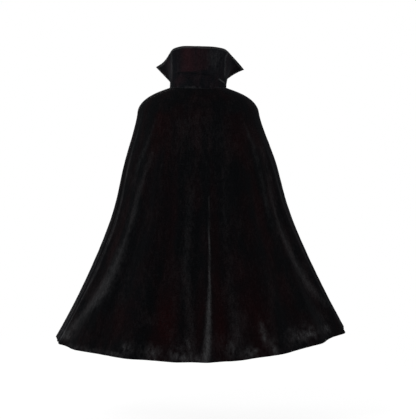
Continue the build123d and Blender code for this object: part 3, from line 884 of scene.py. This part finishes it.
def rounded_edge(edge):
    """How far a face turns in near its edges, on a quarter round that ends a little before the edge."""
    inside = np.clip((edge - EDGE_SEAM) / EDGE_ROUND, 0, 1)
    return (COLLAR_DEPTH / 2) * (1 - np.sqrt(1 - (1 - inside) ** 2))


def collar_sheet(name, depth, way):
    """One face of the collar at a depth inside its outer side. The way is 1 for outer and -1 for inner."""
    share, height = np.broadcast_arrays(collar_shares, collar_heights)
    edge, _ = collar_edges(share, height)
    points = moved_in(collar_face, share, height, depth + way * rounded_edge(edge), COLLAR_STEP)
    crush_and_sheen, warmth = collar_masks(share, height)
    obj = grid_object(name, points, collar_velvet_painted_lit, {"crush_and_sheen": crush_and_sheen, "warmth": warmth})
    thin = np.clip(mix(EDGE_THINNEST, 1, edge / EDGE_ROUND), 0, 1).round(2).ravel()
    group = obj.vertex_groups.new(name="thick")
    for weight in np.unique(thin):
        group.add(np.flatnonzero(thin == weight).tolist(), float(weight), "REPLACE")
    return thicken(obj, COLLAR_CLOTH, offset=-way, group=group.name)


collar_outer = collar_sheet("collar_outer_face", 0.0, 1)
collar_inner = collar_sheet("collar_inner_face", COLLAR_DEPTH, -1)
print("collar faces:", len(collar_outer.data.polygons))

# %% [markdown]
# ## Buckram
# The stiffener is a layer of open, sized canvas that stops short of the collar's edges, so that the
# velvet can turn in round it. It is built on the collar's wrinkled surface and not on the plain one,
# because it would poke through the crease. Its threads are two crossed waves in the cloth's own UV.

# %% Buckram


def woven(name, colour, threads_per_metre, depth, rough):
    """A plain weave: two crossed wave patterns in the cloth's own UV give both relief and shade.

    A wave texture has one band for each tenth of pi of its scaled length, hence the scale.
    """
    material, tree, shader = new_material(
        name, Specular_IOR_Level=0.2, Sheen_Weight=0.15, Sheen_Roughness=0.5
    )
    uv = node(tree, "ShaderNodeUVMap", uv_map="cloth").outputs["UV"]
    waves, scale = [], threads_per_metre * np.pi / 10
    for direction in ("X", "Y"):
        wave = node(tree, "ShaderNodeTexWave", bands_direction=direction, Scale=scale, Distortion=0.4)
        wave.inputs["Detail"].default_value = 1.0
        link(tree, (uv, wave.inputs["Vector"]))
        waves.append(wave.outputs["Fac"])
    weave = maths(tree, "MULTIPLY", waves[0], waves[1])
    fluff = node(tree, "ShaderNodeTexNoise", Scale=900.0, Detail=3.0)
    link(tree, (uv, fluff.inputs["Vector"]))
    tone = maths(tree, "MULTIPLY_ADD", maths(tree, "ADD", weave, fluff.outputs["Fac"]), 0.45, 0.50)
    colour_out = node(tree, "ShaderNodeVectorMath", operation="SCALE")
    colour_out.inputs[0].default_value = colour
    roughness = maths(tree, "MULTIPLY_ADD", fluff.outputs["Fac"], 0.2, rough - 0.1)
    relief = node(tree, "ShaderNodeBump", Strength=0.6, Distance=depth)
    link(
        tree,
        (tone, colour_out.inputs["Scale"]),
        (colour_out.outputs[0], shader.inputs["Base Color"]),
        (roughness, shader.inputs["Roughness"]),
        (weave, relief.inputs["Height"]),
        (relief.outputs["Normal"], shader.inputs["Normal"]),
    )
    return material


STIFF_REACH, STIFF_FOOT, STIFF_TOP = 0.962, 0.03, 0.970
buckram_cloth = woven("buckram", (0.62, 0.59, 0.50), 900, 0.0003, rough=0.85)
stiff_shares, stiff_heights = np.broadcast_arrays(
    np.linspace(-STIFF_REACH, STIFF_REACH, 180)[None, :], np.linspace(STIFF_FOOT, STIFF_TOP, 60)[:, None]
)
stiff_points = moved_in(collar_face, stiff_shares, stiff_heights, COLLAR_CLOTH + LAYER_GAP, COLLAR_STEP)
collar_stiff = thicken(grid_object("collar_buckram", stiff_points, buckram_cloth), BUCKRAM)
print("buckram reaches", round(float(np.max(np.array(collar_stiff.bound_box)[:, 2])), 4), "m up")

# %% [markdown]
# ## Neck tape
# A woven tape covers the raw neck seam on the inside, as in most unlined coats. It is a plain strip
# that is sewn down along both edges. It could be a ring of its own, but it is drawn in from the collar's
# surface, so that it lies flat wherever the collar leans.

# %% Neck tape
TAPE, TAPE_END_ANGLE, TAPE_ABOVE, TAPE_BELOW = 0.0008, 156.0, 0.004, 0.009


def tape_shape(angle, height):
    """The tape's outer face: the collar's surface drawn in by its thickness, at a height from the seam."""
    share, height = np.broadcast_arrays(np.asarray(angle) / COLLAR_END_ANGLE, height)
    tall = collar_plain(share, 1.0)[..., 2] - collar_plain(share, 0.0)[..., 2]
    return moved_in(collar_plain, share, (height + COLLAR_LAP) / tall, COLLAR_DEPTH + LAYER_GAP, COLLAR_STEP)


tape_weave = woven("woven_tape", (0.008, 0.008, 0.0095), 700, 0.0002, rough=0.7)
tape_angles, tape_heights = np.broadcast_arrays(
    np.linspace(-TAPE_END_ANGLE, TAPE_END_ANGLE, 260)[None, :],
    np.linspace(-TAPE_BELOW, TAPE_ABOVE, 14)[:, None],
)
tape_ease = 0.00012 * soft_noise(tape_angles / 3 + 60, tape_heights * 300 + 60, 51)
tape_points = moved_in(tape_shape, tape_angles, tape_heights, tape_ease, TAPE_STEP)
neck_tape = thicken(grid_object("neck_tape_band", tape_points, tape_weave), TAPE)

# %% [markdown]
# ## Hanging loop
# The loop is one length of the same tape, sewn down at both ends, and it hangs in a slack U. A curve
# with a flat profile could make it, but a strip laid along a path of points also bows across its width,
# as a pressed tape does. It starts on the line that it turns about.

# %% Loop
LOOP_HALF, LOOP_BAND, LOOP_DROP, LOOP_THICKNESS = 0.021, 0.007, 0.024, 0.0012
LOOP_TAPE, LOOP_TAPE_WIDTH, LOOP_TAPE_BOW = 0.0007, LOOP_BAND * 0.96, 0.00018
# shares of the way from the middle to an end: full width is reached at one, the rise starts at the other
LOOP_WIDE_AT, LOOP_RISES_AT = 0.44, 0.30


def ribbon(name, path, sideways, width, thickness, bow, material):
    """A strip of tape along a path. Its width lies along the given side directions and it bows a little."""
    across = np.linspace(-0.5, 0.5, 9)[None, :, None]
    arch = bow * (1 - 4 * across * across)
    tangent = np.gradient(path, axis=0)
    tangent /= np.linalg.norm(tangent, axis=1, keepdims=True)
    normal = np.cross(tangent, sideways)
    points = path[:, None] + sideways[:, None] * width * across + normal[:, None] * arch
    return thicken(grid_object(name, points, material, facing=(0, -1, 0)), thickness, offset=0)


loop_low, loop_high = (np.array(corner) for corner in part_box("hanging_loop"))
loop_y = (loop_low[1] + loop_high[1]) / 2
reach, drop = LOOP_HALF - LOOP_BAND / 2, LOOP_DROP - LOOP_BAND / 2
t = np.linspace(-1, 1, 90)
loop_x = reach * np.sign(t) * np.sin(np.clip(np.abs(t) / LOOP_WIDE_AT, 0, 1) * np.pi / 2) ** 0.8
loop_rise = np.clip((np.abs(t) - LOOP_RISES_AT) / (1 - LOOP_RISES_AT), 0, 1) ** 1.25
loop_z = loop_high[2] - drop + drop * loop_rise
loop_path = np.stack([loop_x, loop_y + 0.0002 * np.sin(t * 5), loop_z], axis=1)
loop_along = np.gradient(loop_path, axis=0)
loop_along /= np.linalg.norm(loop_along, axis=1, keepdims=True)
loop_side = np.cross(loop_along, [0.0, 1.0, 0.0])
loop_side /= np.linalg.norm(loop_side, axis=1, keepdims=True)
tape_loop = ribbon(
    "tape_loop", loop_path, loop_side, LOOP_TAPE_WIDTH, LOOP_TAPE, LOOP_TAPE_BOW, tape_weave
)
print("loop hangs from", round(float(loop_high[2]), 4), "to", round(float(loop_low[2]), 4))

# %% [markdown]
# ## Label
# The label is a small blank piece of satin, sewn on by its top edge, and its loose end curls a little.
# Satin is woven finer than tape and shines more, so it is the same weave with more threads and less
# roughness.

# %% Label
LABEL_ANGLE, LABEL_WIDTH, LABEL_DROP, LABEL_THICKNESS = 44.0, 0.028, 0.038, 0.0005
LABEL_TRIM_ACROSS, LABEL_TRIM_DOWN = 0.0006, 0.0004
satin = woven("label_satin", (0.78, 0.77, 0.73), 1500, 0.0001, rough=0.42)
label_low, label_high = (np.array(corner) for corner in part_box("care_label"))
label_middle = (label_low + label_high) / 2
label_turn = np.radians(LABEL_ANGLE)
label_in = -np.array([np.sin(label_turn) / NECK_HALF, np.cos(label_turn) / NECK_DEPTH, 0])
label_in /= np.linalg.norm(label_in)
label_across = np.cross([0.0, 0.0, 1.0], label_in)
u, v = np.linspace(-0.5, 0.5, 25)[None, :, None], np.linspace(0, 1, 40)[:, None, None]
curl = -0.0004 + 0.0012 * v**2 * (0.4 + u) + 0.0008 * u * u
label_top = np.array([label_middle[0], label_middle[1], label_high[2]])
label_down = np.array([0.0, 0.0, -1.0])
label_points = (
    label_top + label_across * u * (LABEL_WIDTH - LABEL_TRIM_ACROSS)
    + label_down * v * (LABEL_DROP - LABEL_TRIM_DOWN) + label_in * curl
)
label_sheet = grid_object("label_patch", label_points, satin, facing=label_in)
label_patch = thicken(label_sheet, LABEL_THICKNESS, offset=0)
print("label corners:", label_low.round(4).tolist(), label_high.round(4).tolist())

# %% [markdown]
# ## Side seam binding
# The raw edges of each side seam are pressed open and covered by a strip of black tape on the inside.
# The seam's edges roll inwards, so the strip rises over them in the middle. It is a narrow band of the
# cape's own surface, which keeps its width the same all the way down while the cape gets wider.

# %% Bindings
BINDING_HALF, BINDING_RISE, BINDING_RIDGE, BINDING_THICKNESS = 0.012, 0.0016, 0.45, 0.0005
bindings = {}
binding_levels = np.linspace(-0.95, 0.97, 150)[:, None]
binding_across = np.linspace(-1, 1, 15)[None, :]
for name, side in (("left", 1), ("right", -1)):
    half_width = np.abs(cape_shape(side * 90.0, binding_levels, worn=False)[..., 0])
    depth_there = cape_shape(0.0, binding_levels, worn=False)[..., 1]
    angle = side * (90 - np.degrees(BINDING_HALF / depth_there) * binding_across)
    lift = VELVET + LAYER_GAP + BINDING_RISE * bump(binding_across / BINDING_RIDGE)
    points = moved_in(cape_shape, *np.broadcast_arrays(angle, binding_levels), lift, CAPE_STEP)
    strip = grid_object(f"side_binding_{name}", points, tape_weave)
    bindings[name] = thicken(strip, BINDING_THICKNESS)
print("bindings:", len(bindings), "each", 2 * BINDING_HALF, "m wide")

# %% [markdown]
# ## Stitches
# Every seam that shows has its own thread. A bump in the velvet could suggest it, but real bars catch
# the light and stay when the cloth is seen edge on. A stitch is a short rounded bar, and a row of them is
# one piece, spaced evenly along the line that it sews.

# %% Stitch builder
STITCH_SIDES, STITCH_SHARE = 6, 0.72


def even_places(points, spacing):
    """Places along a line of points, a fixed distance apart, with the line's direction at each."""
    gaps = np.linalg.norm(np.diff(points, axis=0), axis=1)
    at = np.concatenate([[0], np.cumsum(gaps)])
    where = np.arange(spacing / 2, at[-1], spacing)
    place, ahead, behind = (
        np.stack([np.interp(where + shift, at, points[:, k]) for k in range(3)], axis=1)
        for shift in (0, spacing / 4, -spacing / 4)
    )
    direction = ahead - behind
    return place, direction / np.linalg.norm(direction, axis=1, keepdims=True)


def bars(name, place, direction, length, radius, material):
    """Short bars with rounded ends: five rings of points about each direction, closed at both ends."""
    helper = np.where(np.abs(direction[:, 2:3]) < 0.9, [[0.0, 0.0, 1.0]], [[1.0, 0.0, 0.0]])
    first = np.cross(direction, helper)
    first /= np.linalg.norm(first, axis=1, keepdims=True)
    second = np.cross(direction, first)
    along = np.array([-0.5, -0.42, 0.0, 0.42, 0.5]) * length
    size = np.array([0.35, 0.85, 1.0, 0.85, 0.35]) * radius
    turn = np.linspace(0, 2 * np.pi, STITCH_SIDES, endpoint=False)
    ring = first[:, None] * np.cos(turn)[None, :, None] + second[:, None] * np.sin(turn)[None, :, None]
    points = place[:, None, None] + direction[:, None, None] * along[None, :, None, None]
    points = points + ring[:, None] * size[None, :, None, None]
    index = np.arange(len(along) * STITCH_SIDES).reshape(len(along), STITCH_SIDES)
    after = np.roll(index, -1, axis=1)
    quads = np.stack([index[:-1], after[:-1], after[1:], index[1:]], axis=-1).reshape(-1, 4).tolist()
    faces = quads + [index[0, ::-1].tolist(), index[-1].tolist()]
    every = [[corner + k * index.size for corner in face] for k in range(len(place)) for face in faces]
    mesh = bpy.data.meshes.new(name)
    mesh.from_pydata(points.reshape(-1, 3).tolist(), [], every)
    mesh.polygons.foreach_set("use_smooth", np.ones(len(mesh.polygons), bool))
    return new_object(name, mesh, material)


def stitches(name, lines, spacing, material, radius=0.00022, slant=0.0):
    """A row of stitches along each line of points. A slant turns them one way and the other in turn."""
    places, directions = zip(*(even_places(line, spacing) for line in lines))
    place, direction = np.concatenate(places), np.concatenate(directions)
    if slant:
        inwards = -place * [1, 1, 0]
        across = np.cross(direction, inwards)
        across /= np.linalg.norm(across, axis=1, keepdims=True)
        way = np.where(np.arange(len(place)) % 2, slant, -slant)[:, None]
        direction = direction + across * way
        direction /= np.linalg.norm(direction, axis=1, keepdims=True)
    return bars(name, place, direction, spacing * STITCH_SHARE, radius, material)


print("sides of a stitch:", STITCH_SIDES, "length in its spacing:", STITCH_SHARE)

# %% [markdown]
# ## Thread
# Sewing thread is two or three yarns twisted together, so slanting bands of light and shade run round
# it, with a little fuzz. Modelling the twist would cost far more faces than it shows, so it is a wave
# in the shader, which also gives the bump.

# %% Thread


def thread_finish(name, colour):
    """Twisted cotton thread: slanted bands in the object's own coordinates over a soft, fuzzy ground."""
    material, tree, shader = new_material(name, Sheen_Weight=0.3, Specular_IOR_Level=0.25)
    place = node(tree, "ShaderNodeTexCoord").outputs["Object"]
    twist = node(tree, "ShaderNodeTexWave", bands_direction="DIAGONAL", Scale=700.0, Distortion=1.5)
    fuzz = node(tree, "ShaderNodeTexNoise", Scale=2600.0, Detail=3.0)
    link(tree, (place, twist.inputs["Vector"]), (place, fuzz.inputs["Vector"]))
    tone = maths(tree, "MULTIPLY_ADD", twist.outputs["Fac"], 0.6, 0.6)
    shade = node(tree, "ShaderNodeVectorMath", operation="SCALE")
    shade.inputs[0].default_value = colour
    roughness = maths(tree, "MULTIPLY_ADD", fuzz.outputs["Fac"], 0.3, 0.45)
    relief = node(tree, "ShaderNodeBump", Strength=0.6, Distance=0.0001)
    link(
        tree,
        (tone, shade.inputs["Scale"]),
        (shade.outputs[0], shader.inputs["Base Color"]),
        (roughness, shader.inputs["Roughness"]),
        (twist.outputs["Fac"], relief.inputs["Height"]),
        (relief.outputs["Normal"], shader.inputs["Normal"]),
    )
    return material


black_thread = thread_finish("black_thread", (0.018, 0.018, 0.020))
white_thread = thread_finish("white_thread", (0.62, 0.61, 0.58))
print("threads:", black_thread.name, white_thread.name)

# %% [markdown]
# ## Rows of stitches
# A topstitched row holds the turned edge of the collar, two rows hold the tape, and slanting hand
# stitches catch the hem. Each row follows the same surface as the cloth under it, lifted by a hair, so
# the thread sits on the cloth wherever that bends.

# %% Rows of stitches
TOPSTITCH_INSET, TOPSTITCH_SPACING = 0.0062, 0.0030
TAPE_STITCH_INSET, TAPE_STITCH_SPACING = 0.0012, 0.0028
HEM_STITCH_SPACING, HEM_STITCH_SLANT = 0.006, 0.8
HEM_ROW_BACK, HEM_ROW_FRONT = (-87, 87), (93, 158)
THREAD_LIFT = 0.0001


def collar_row(shares, heights):
    """Points just proud of the collar's outer face."""
    return moved_in(collar_face, shares, heights, -1.5 * THREAD_LIFT, COLLAR_STEP)


top_share = np.linspace(-0.955, 0.955, 600)
tall = np.linalg.norm(collar_plain(top_share, 1.0) - collar_plain(top_share, 0.0), axis=-1)
collar_lines = [collar_row(top_share, 1 - TOPSTITCH_INSET / tall)]
rise = np.linspace(0.06, 0.93, 200)
for side in (1, -1):
    wide = np.linalg.norm(collar_plain(side * 1.0, rise) - collar_plain(side * 0.9, rise), axis=-1) / 0.1
    collar_lines.append(collar_row(side * (1 - TOPSTITCH_INSET / wide), rise))
collar_thread = stitches("collar_topstitch", collar_lines, TOPSTITCH_SPACING, black_thread)

ring_angles = np.linspace(-TAPE_END_ANGLE + 1, TAPE_END_ANGLE - 1, 500)
tape_lines = [
    moved_in(tape_shape, ring_angles, np.full(ring_angles.shape, at), TAPE + THREAD_LIFT, TAPE_STEP)
    for at in (TAPE_ABOVE - TAPE_STITCH_INSET, -TAPE_BELOW + TAPE_STITCH_INSET)
]
tape_thread = stitches("tape_stitches", tape_lines, TAPE_STITCH_SPACING, black_thread)


def hem_row(name, first, last, count):
    """Slanting stitches on the inside, along the top of the turned-up hem between two angles."""
    angle = np.linspace(first, last, count)
    level = np.full(count, 1 - HEM_ALLOWANCE / SKIRT_LENGTH)
    line = moved_in(cape_shape, angle, level, 2 * HEM_TURN + THREAD_LIFT, CAPE_STEP)
    return stitches(name, [line], HEM_STITCH_SPACING, black_thread, slant=HEM_STITCH_SLANT)


back_hem_thread = hem_row("hem_stitches_back", *HEM_ROW_BACK, 500)
front_hem_threads = {
    name: hem_row(f"hem_stitches_{name}", *(side * angle for angle in HEM_ROW_FRONT), 300)
    for name, side in (("left", 1), ("right", -1))
}
print("stitched rows:", 3 + len(front_hem_threads))

# %% [markdown]
# ## Tacks on the loop and the label
# The loop's ends are held by two short bars of thread each, and the label by one row along its top.
# They are the same stitches, only closer and finer, and they turn with the piece that they hold.

# %% Tacks on the loop and label
TACK_HALF, TACK_RADIUS = 0.0030, 0.00016
tack_x = np.array([-1, 1]) * reach
tack_z = float(loop_high[2])
tack_lines = []
for x in tack_x:
    for shift in (-0.0008, 0.0004):
        middle = np.array([x, loop_y - LOOP_THICKNESS * 0.45, tack_z + shift])
        tack_lines.append(middle + np.linspace(-TACK_HALF, TACK_HALF, 12)[:, None] * [1, 0, 0])
loop_thread = stitches("loop_tacks", tack_lines, 0.0012, black_thread, radius=TACK_RADIUS)
label_line = label_points[2, 1:-1] + label_in * 0.0004
label_thread = stitches("label_stitches", [label_line], 0.0026, white_thread, radius=TACK_RADIUS)
print("tacks:", len(loop_thread.data.polygons), "faces")

# %% [markdown]
# ## Hook and eye
# The throat closes with a wire hook and eye, as sold on a card. They are stove-enamelled black, which
# wears through to the brass on the bends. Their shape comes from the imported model.

# %% Hook metal
hook_metal, tree, shader = new_material("black_enamel_wire", Coat_Weight=0.3, Coat_Roughness=0.2)
place = node(tree, "ShaderNodeTexCoord").outputs["Object"]
wear = node(tree, "ShaderNodeTexNoise", Scale=420.0, Detail=5.0, Roughness=0.7)
grain = node(tree, "ShaderNodeTexNoise", Scale=1800.0, Detail=2.0)
link(tree, (place, wear.inputs["Vector"]), (place, grain.inputs["Vector"]))
worn = maths(tree, "MULTIPLY_ADD", wear.outputs["Fac"], 9.0, -5.9, clamp=True)
rough_metal = maths(tree, "MULTIPLY_ADD", grain.outputs["Fac"], 0.25, 0.22)
relief = node(tree, "ShaderNodeBump", Strength=0.25, Distance=0.00005)
link(
    tree,
    (blend_colour(tree, worn, (0.012, 0.012, 0.013), (0.42, 0.33, 0.18)), shader.inputs["Base Color"]),
    (worn, shader.inputs["Metallic"]),
    (rough_metal, shader.inputs["Roughness"]),
    (wear.outputs["Fac"], relief.inputs["Height"]),
    (relief.outputs["Normal"], shader.inputs["Normal"]),
)
for name in ("throat_hook", "throat_eye"):
    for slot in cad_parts[name].material_slots:
        slot.material = hook_metal

# %% [markdown]
# ## What each piece rides on and stands for
# The back, the collar and everything sewn to them belong to the body of the cape. The fronts swing, but
# their neck edges and side seams stay sewn; here the fronts, their facings and their hem stitches stay where
# they hang.

# %% Riders
for piece in (back_cloth, collar_outer, collar_inner, collar_stiff, neck_tape, collar_thread, tape_thread,
              back_hem_thread, *bindings.values()):
    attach(piece, "cape")
for piece in (tape_loop, loop_thread):
    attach(piece, "loop")
for piece in (label_patch, label_thread):
    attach(piece, "label")
for name in ("left", "right"):
    for piece in (fronts[name], facings[name], front_hem_threads[name]):
        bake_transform(piece)

stands_for = [
    (back_cloth, "back_panel", "velvet"), (collar_outer, "collar_outer", "velvet"),
    (collar_inner, "collar_inner", "velvet"), (collar_stiff, "collar_stiffener", "buckram"),
    (neck_tape, "neck_tape", "tape"), (tape_loop, "hanging_loop", "tape"),
    (label_patch, "care_label", "label"),
    (fronts["left"], "front_panel_left", "velvet"), (fronts["right"], "front_panel_right", "velvet"),
    (facings["left"], "front_facing_left", "velvet_facing"),
    (facings["right"], "front_facing_right", "velvet_facing"),
]
for piece, replaced, slot in stands_for:
    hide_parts(replaced)
print("pieces that stand for a part:", len(stands_for))

# %% [markdown]
# ## Cut of the panels
# The panels are flared, so their cut area is less than the rectangle they come out of.

# %% [markdown]
# ## Floor
# The cape hangs at shoulder height over a pale floor in a white room. A plain disc would end in a grey
# edge against the white, so the floor's own colour fades into a white glow with the distance from the
# middle, and only a faint shadow is left under the cape.

# %% Floor
FLOOR_Z, FLOOR_RADIUS, FLOOR_CORNERS = -1.09, 9, 96
floor_mesh = bpy.data.meshes.new("floor")
around = np.linspace(0, 2 * np.pi, FLOOR_CORNERS, endpoint=False)
rim = [(FLOOR_RADIUS * np.cos(a), FLOOR_RADIUS * np.sin(a), FLOOR_Z) for a in around]
floor_mesh.from_pydata(rim, [], [list(range(FLOOR_CORNERS))])
floor_white, tree, shader = new_material("floor_white", Base_Color=(0.86, 0.86, 0.86, 1), Roughness=0.9)
glow = node(tree, "ShaderNodeEmission", Color=(1, 1, 1, 1))
place = node(tree, "ShaderNodeTexCoord").outputs["Object"]
flat_place = node(tree, "ShaderNodeVectorMath", operation="MULTIPLY")
flat_place.inputs[1].default_value = (1, 1, 0)
distance = node(tree, "ShaderNodeVectorMath", operation="LENGTH")
fade = node(tree, "ShaderNodeMapRange", interpolation_type="SMOOTHSTEP")
for limit, value in (("From Min", 0.9), ("From Max", 2.6), ("To Min", 0.85)):
    fade.inputs[limit].default_value = value
mixer = node(tree, "ShaderNodeMixShader")
link(
    tree,
    (place, flat_place.inputs[0]),
    (flat_place.outputs[0], distance.inputs[0]),
    (distance.outputs["Value"], fade.inputs["Value"]),
    (fade.outputs["Result"], mixer.inputs[0]),
    (shader.outputs[0], mixer.inputs[1]),
    (glow.outputs[0], mixer.inputs[2]),
    (mixer.outputs[0], tree.nodes["Material Output"].inputs["Surface"]),
)
new_object("floor", floor_mesh, floor_white)
print("floor at", FLOOR_Z, "m, below the hem by", round(HEM_BACK_Z - FLOOR_Z, 3), "m")

# %% [markdown]
# ## World
# The room is plain white. Black cloth under a fully bright room would turn grey, so the camera sees the
# room at full strength while the cape gets about half of that light.

# %% World
ROOM_LIGHT = 0.55
world = bpy.data.worlds.new("white_room")
bpy.context.scene.world = world
world.use_nodes = True
tree = world.node_tree
background = tree.nodes["Background"]
background.inputs["Color"].default_value = (1, 1, 1, 1)
seen = node(tree, "ShaderNodeLightPath").outputs["Is Camera Ray"]
strength = maths(tree, "MULTIPLY_ADD", seen, 1 - ROOM_LIGHT, ROOM_LIGHT)
link(tree, (strength, background.inputs["Strength"]))
bpy.context.scene.view_settings.view_transform = "Standard"
print("room light on the cape:", ROOM_LIGHT)

# %% [markdown]
# ## Lights
# One large soft light stands high behind the cape on the wearer's left. Two weaker ones beside it draw
# its outline, because black velvet shows only what it catches at an angle, and one in front keeps the
# fronts from going flat.

# %% Lights
LIT_POINT = (0, 0, -0.4)


def area_light(name, place, size, power):
    """A square area light that faces the middle of the cape."""
    light = bpy.data.lights.new(name, "AREA")
    light.shape, light.size, light.energy = "SQUARE", size, power
    obj = new_object(name, light)
    obj.location = place
    away = np.array(place) - LIT_POINT
    heading = np.arctan2(away[0], -away[1])
    tilt = np.arctan2(np.hypot(away[0], away[1]), away[2])
    obj.rotation_euler = (tilt, 0, heading)


area_light("key", (1.8, 2.6, 1.5), 1.4, 90)
area_light("side_left", (2.3, -0.1, 0.2), 0.9, 27)
area_light("side_right", (-2.3, 0.2, 0.3), 0.9, 30)
area_light("front_fill", (0.6, -3.0, 1.2), 1.6, 60)

# %% [markdown]
# ## Camera
# The camera looks level at the back of the cape with a long lens, which keeps the shoulders and the hem
# in their true proportion.

# %% Camera
CAMERA_LENS, CAMERA_PLACE = 91.1, (-0.033, 3.5, -0.391)
camera_data = bpy.data.cameras.new("camera")
camera_data.lens = CAMERA_LENS
camera = new_object("camera", camera_data)
camera.location = CAMERA_PLACE
camera.rotation_euler = (np.pi / 2, 0, np.pi)
bpy.context.scene.camera = camera
print("camera:", CAMERA_LENS, "mm lens,", CAMERA_PLACE[1], "m behind the neck")
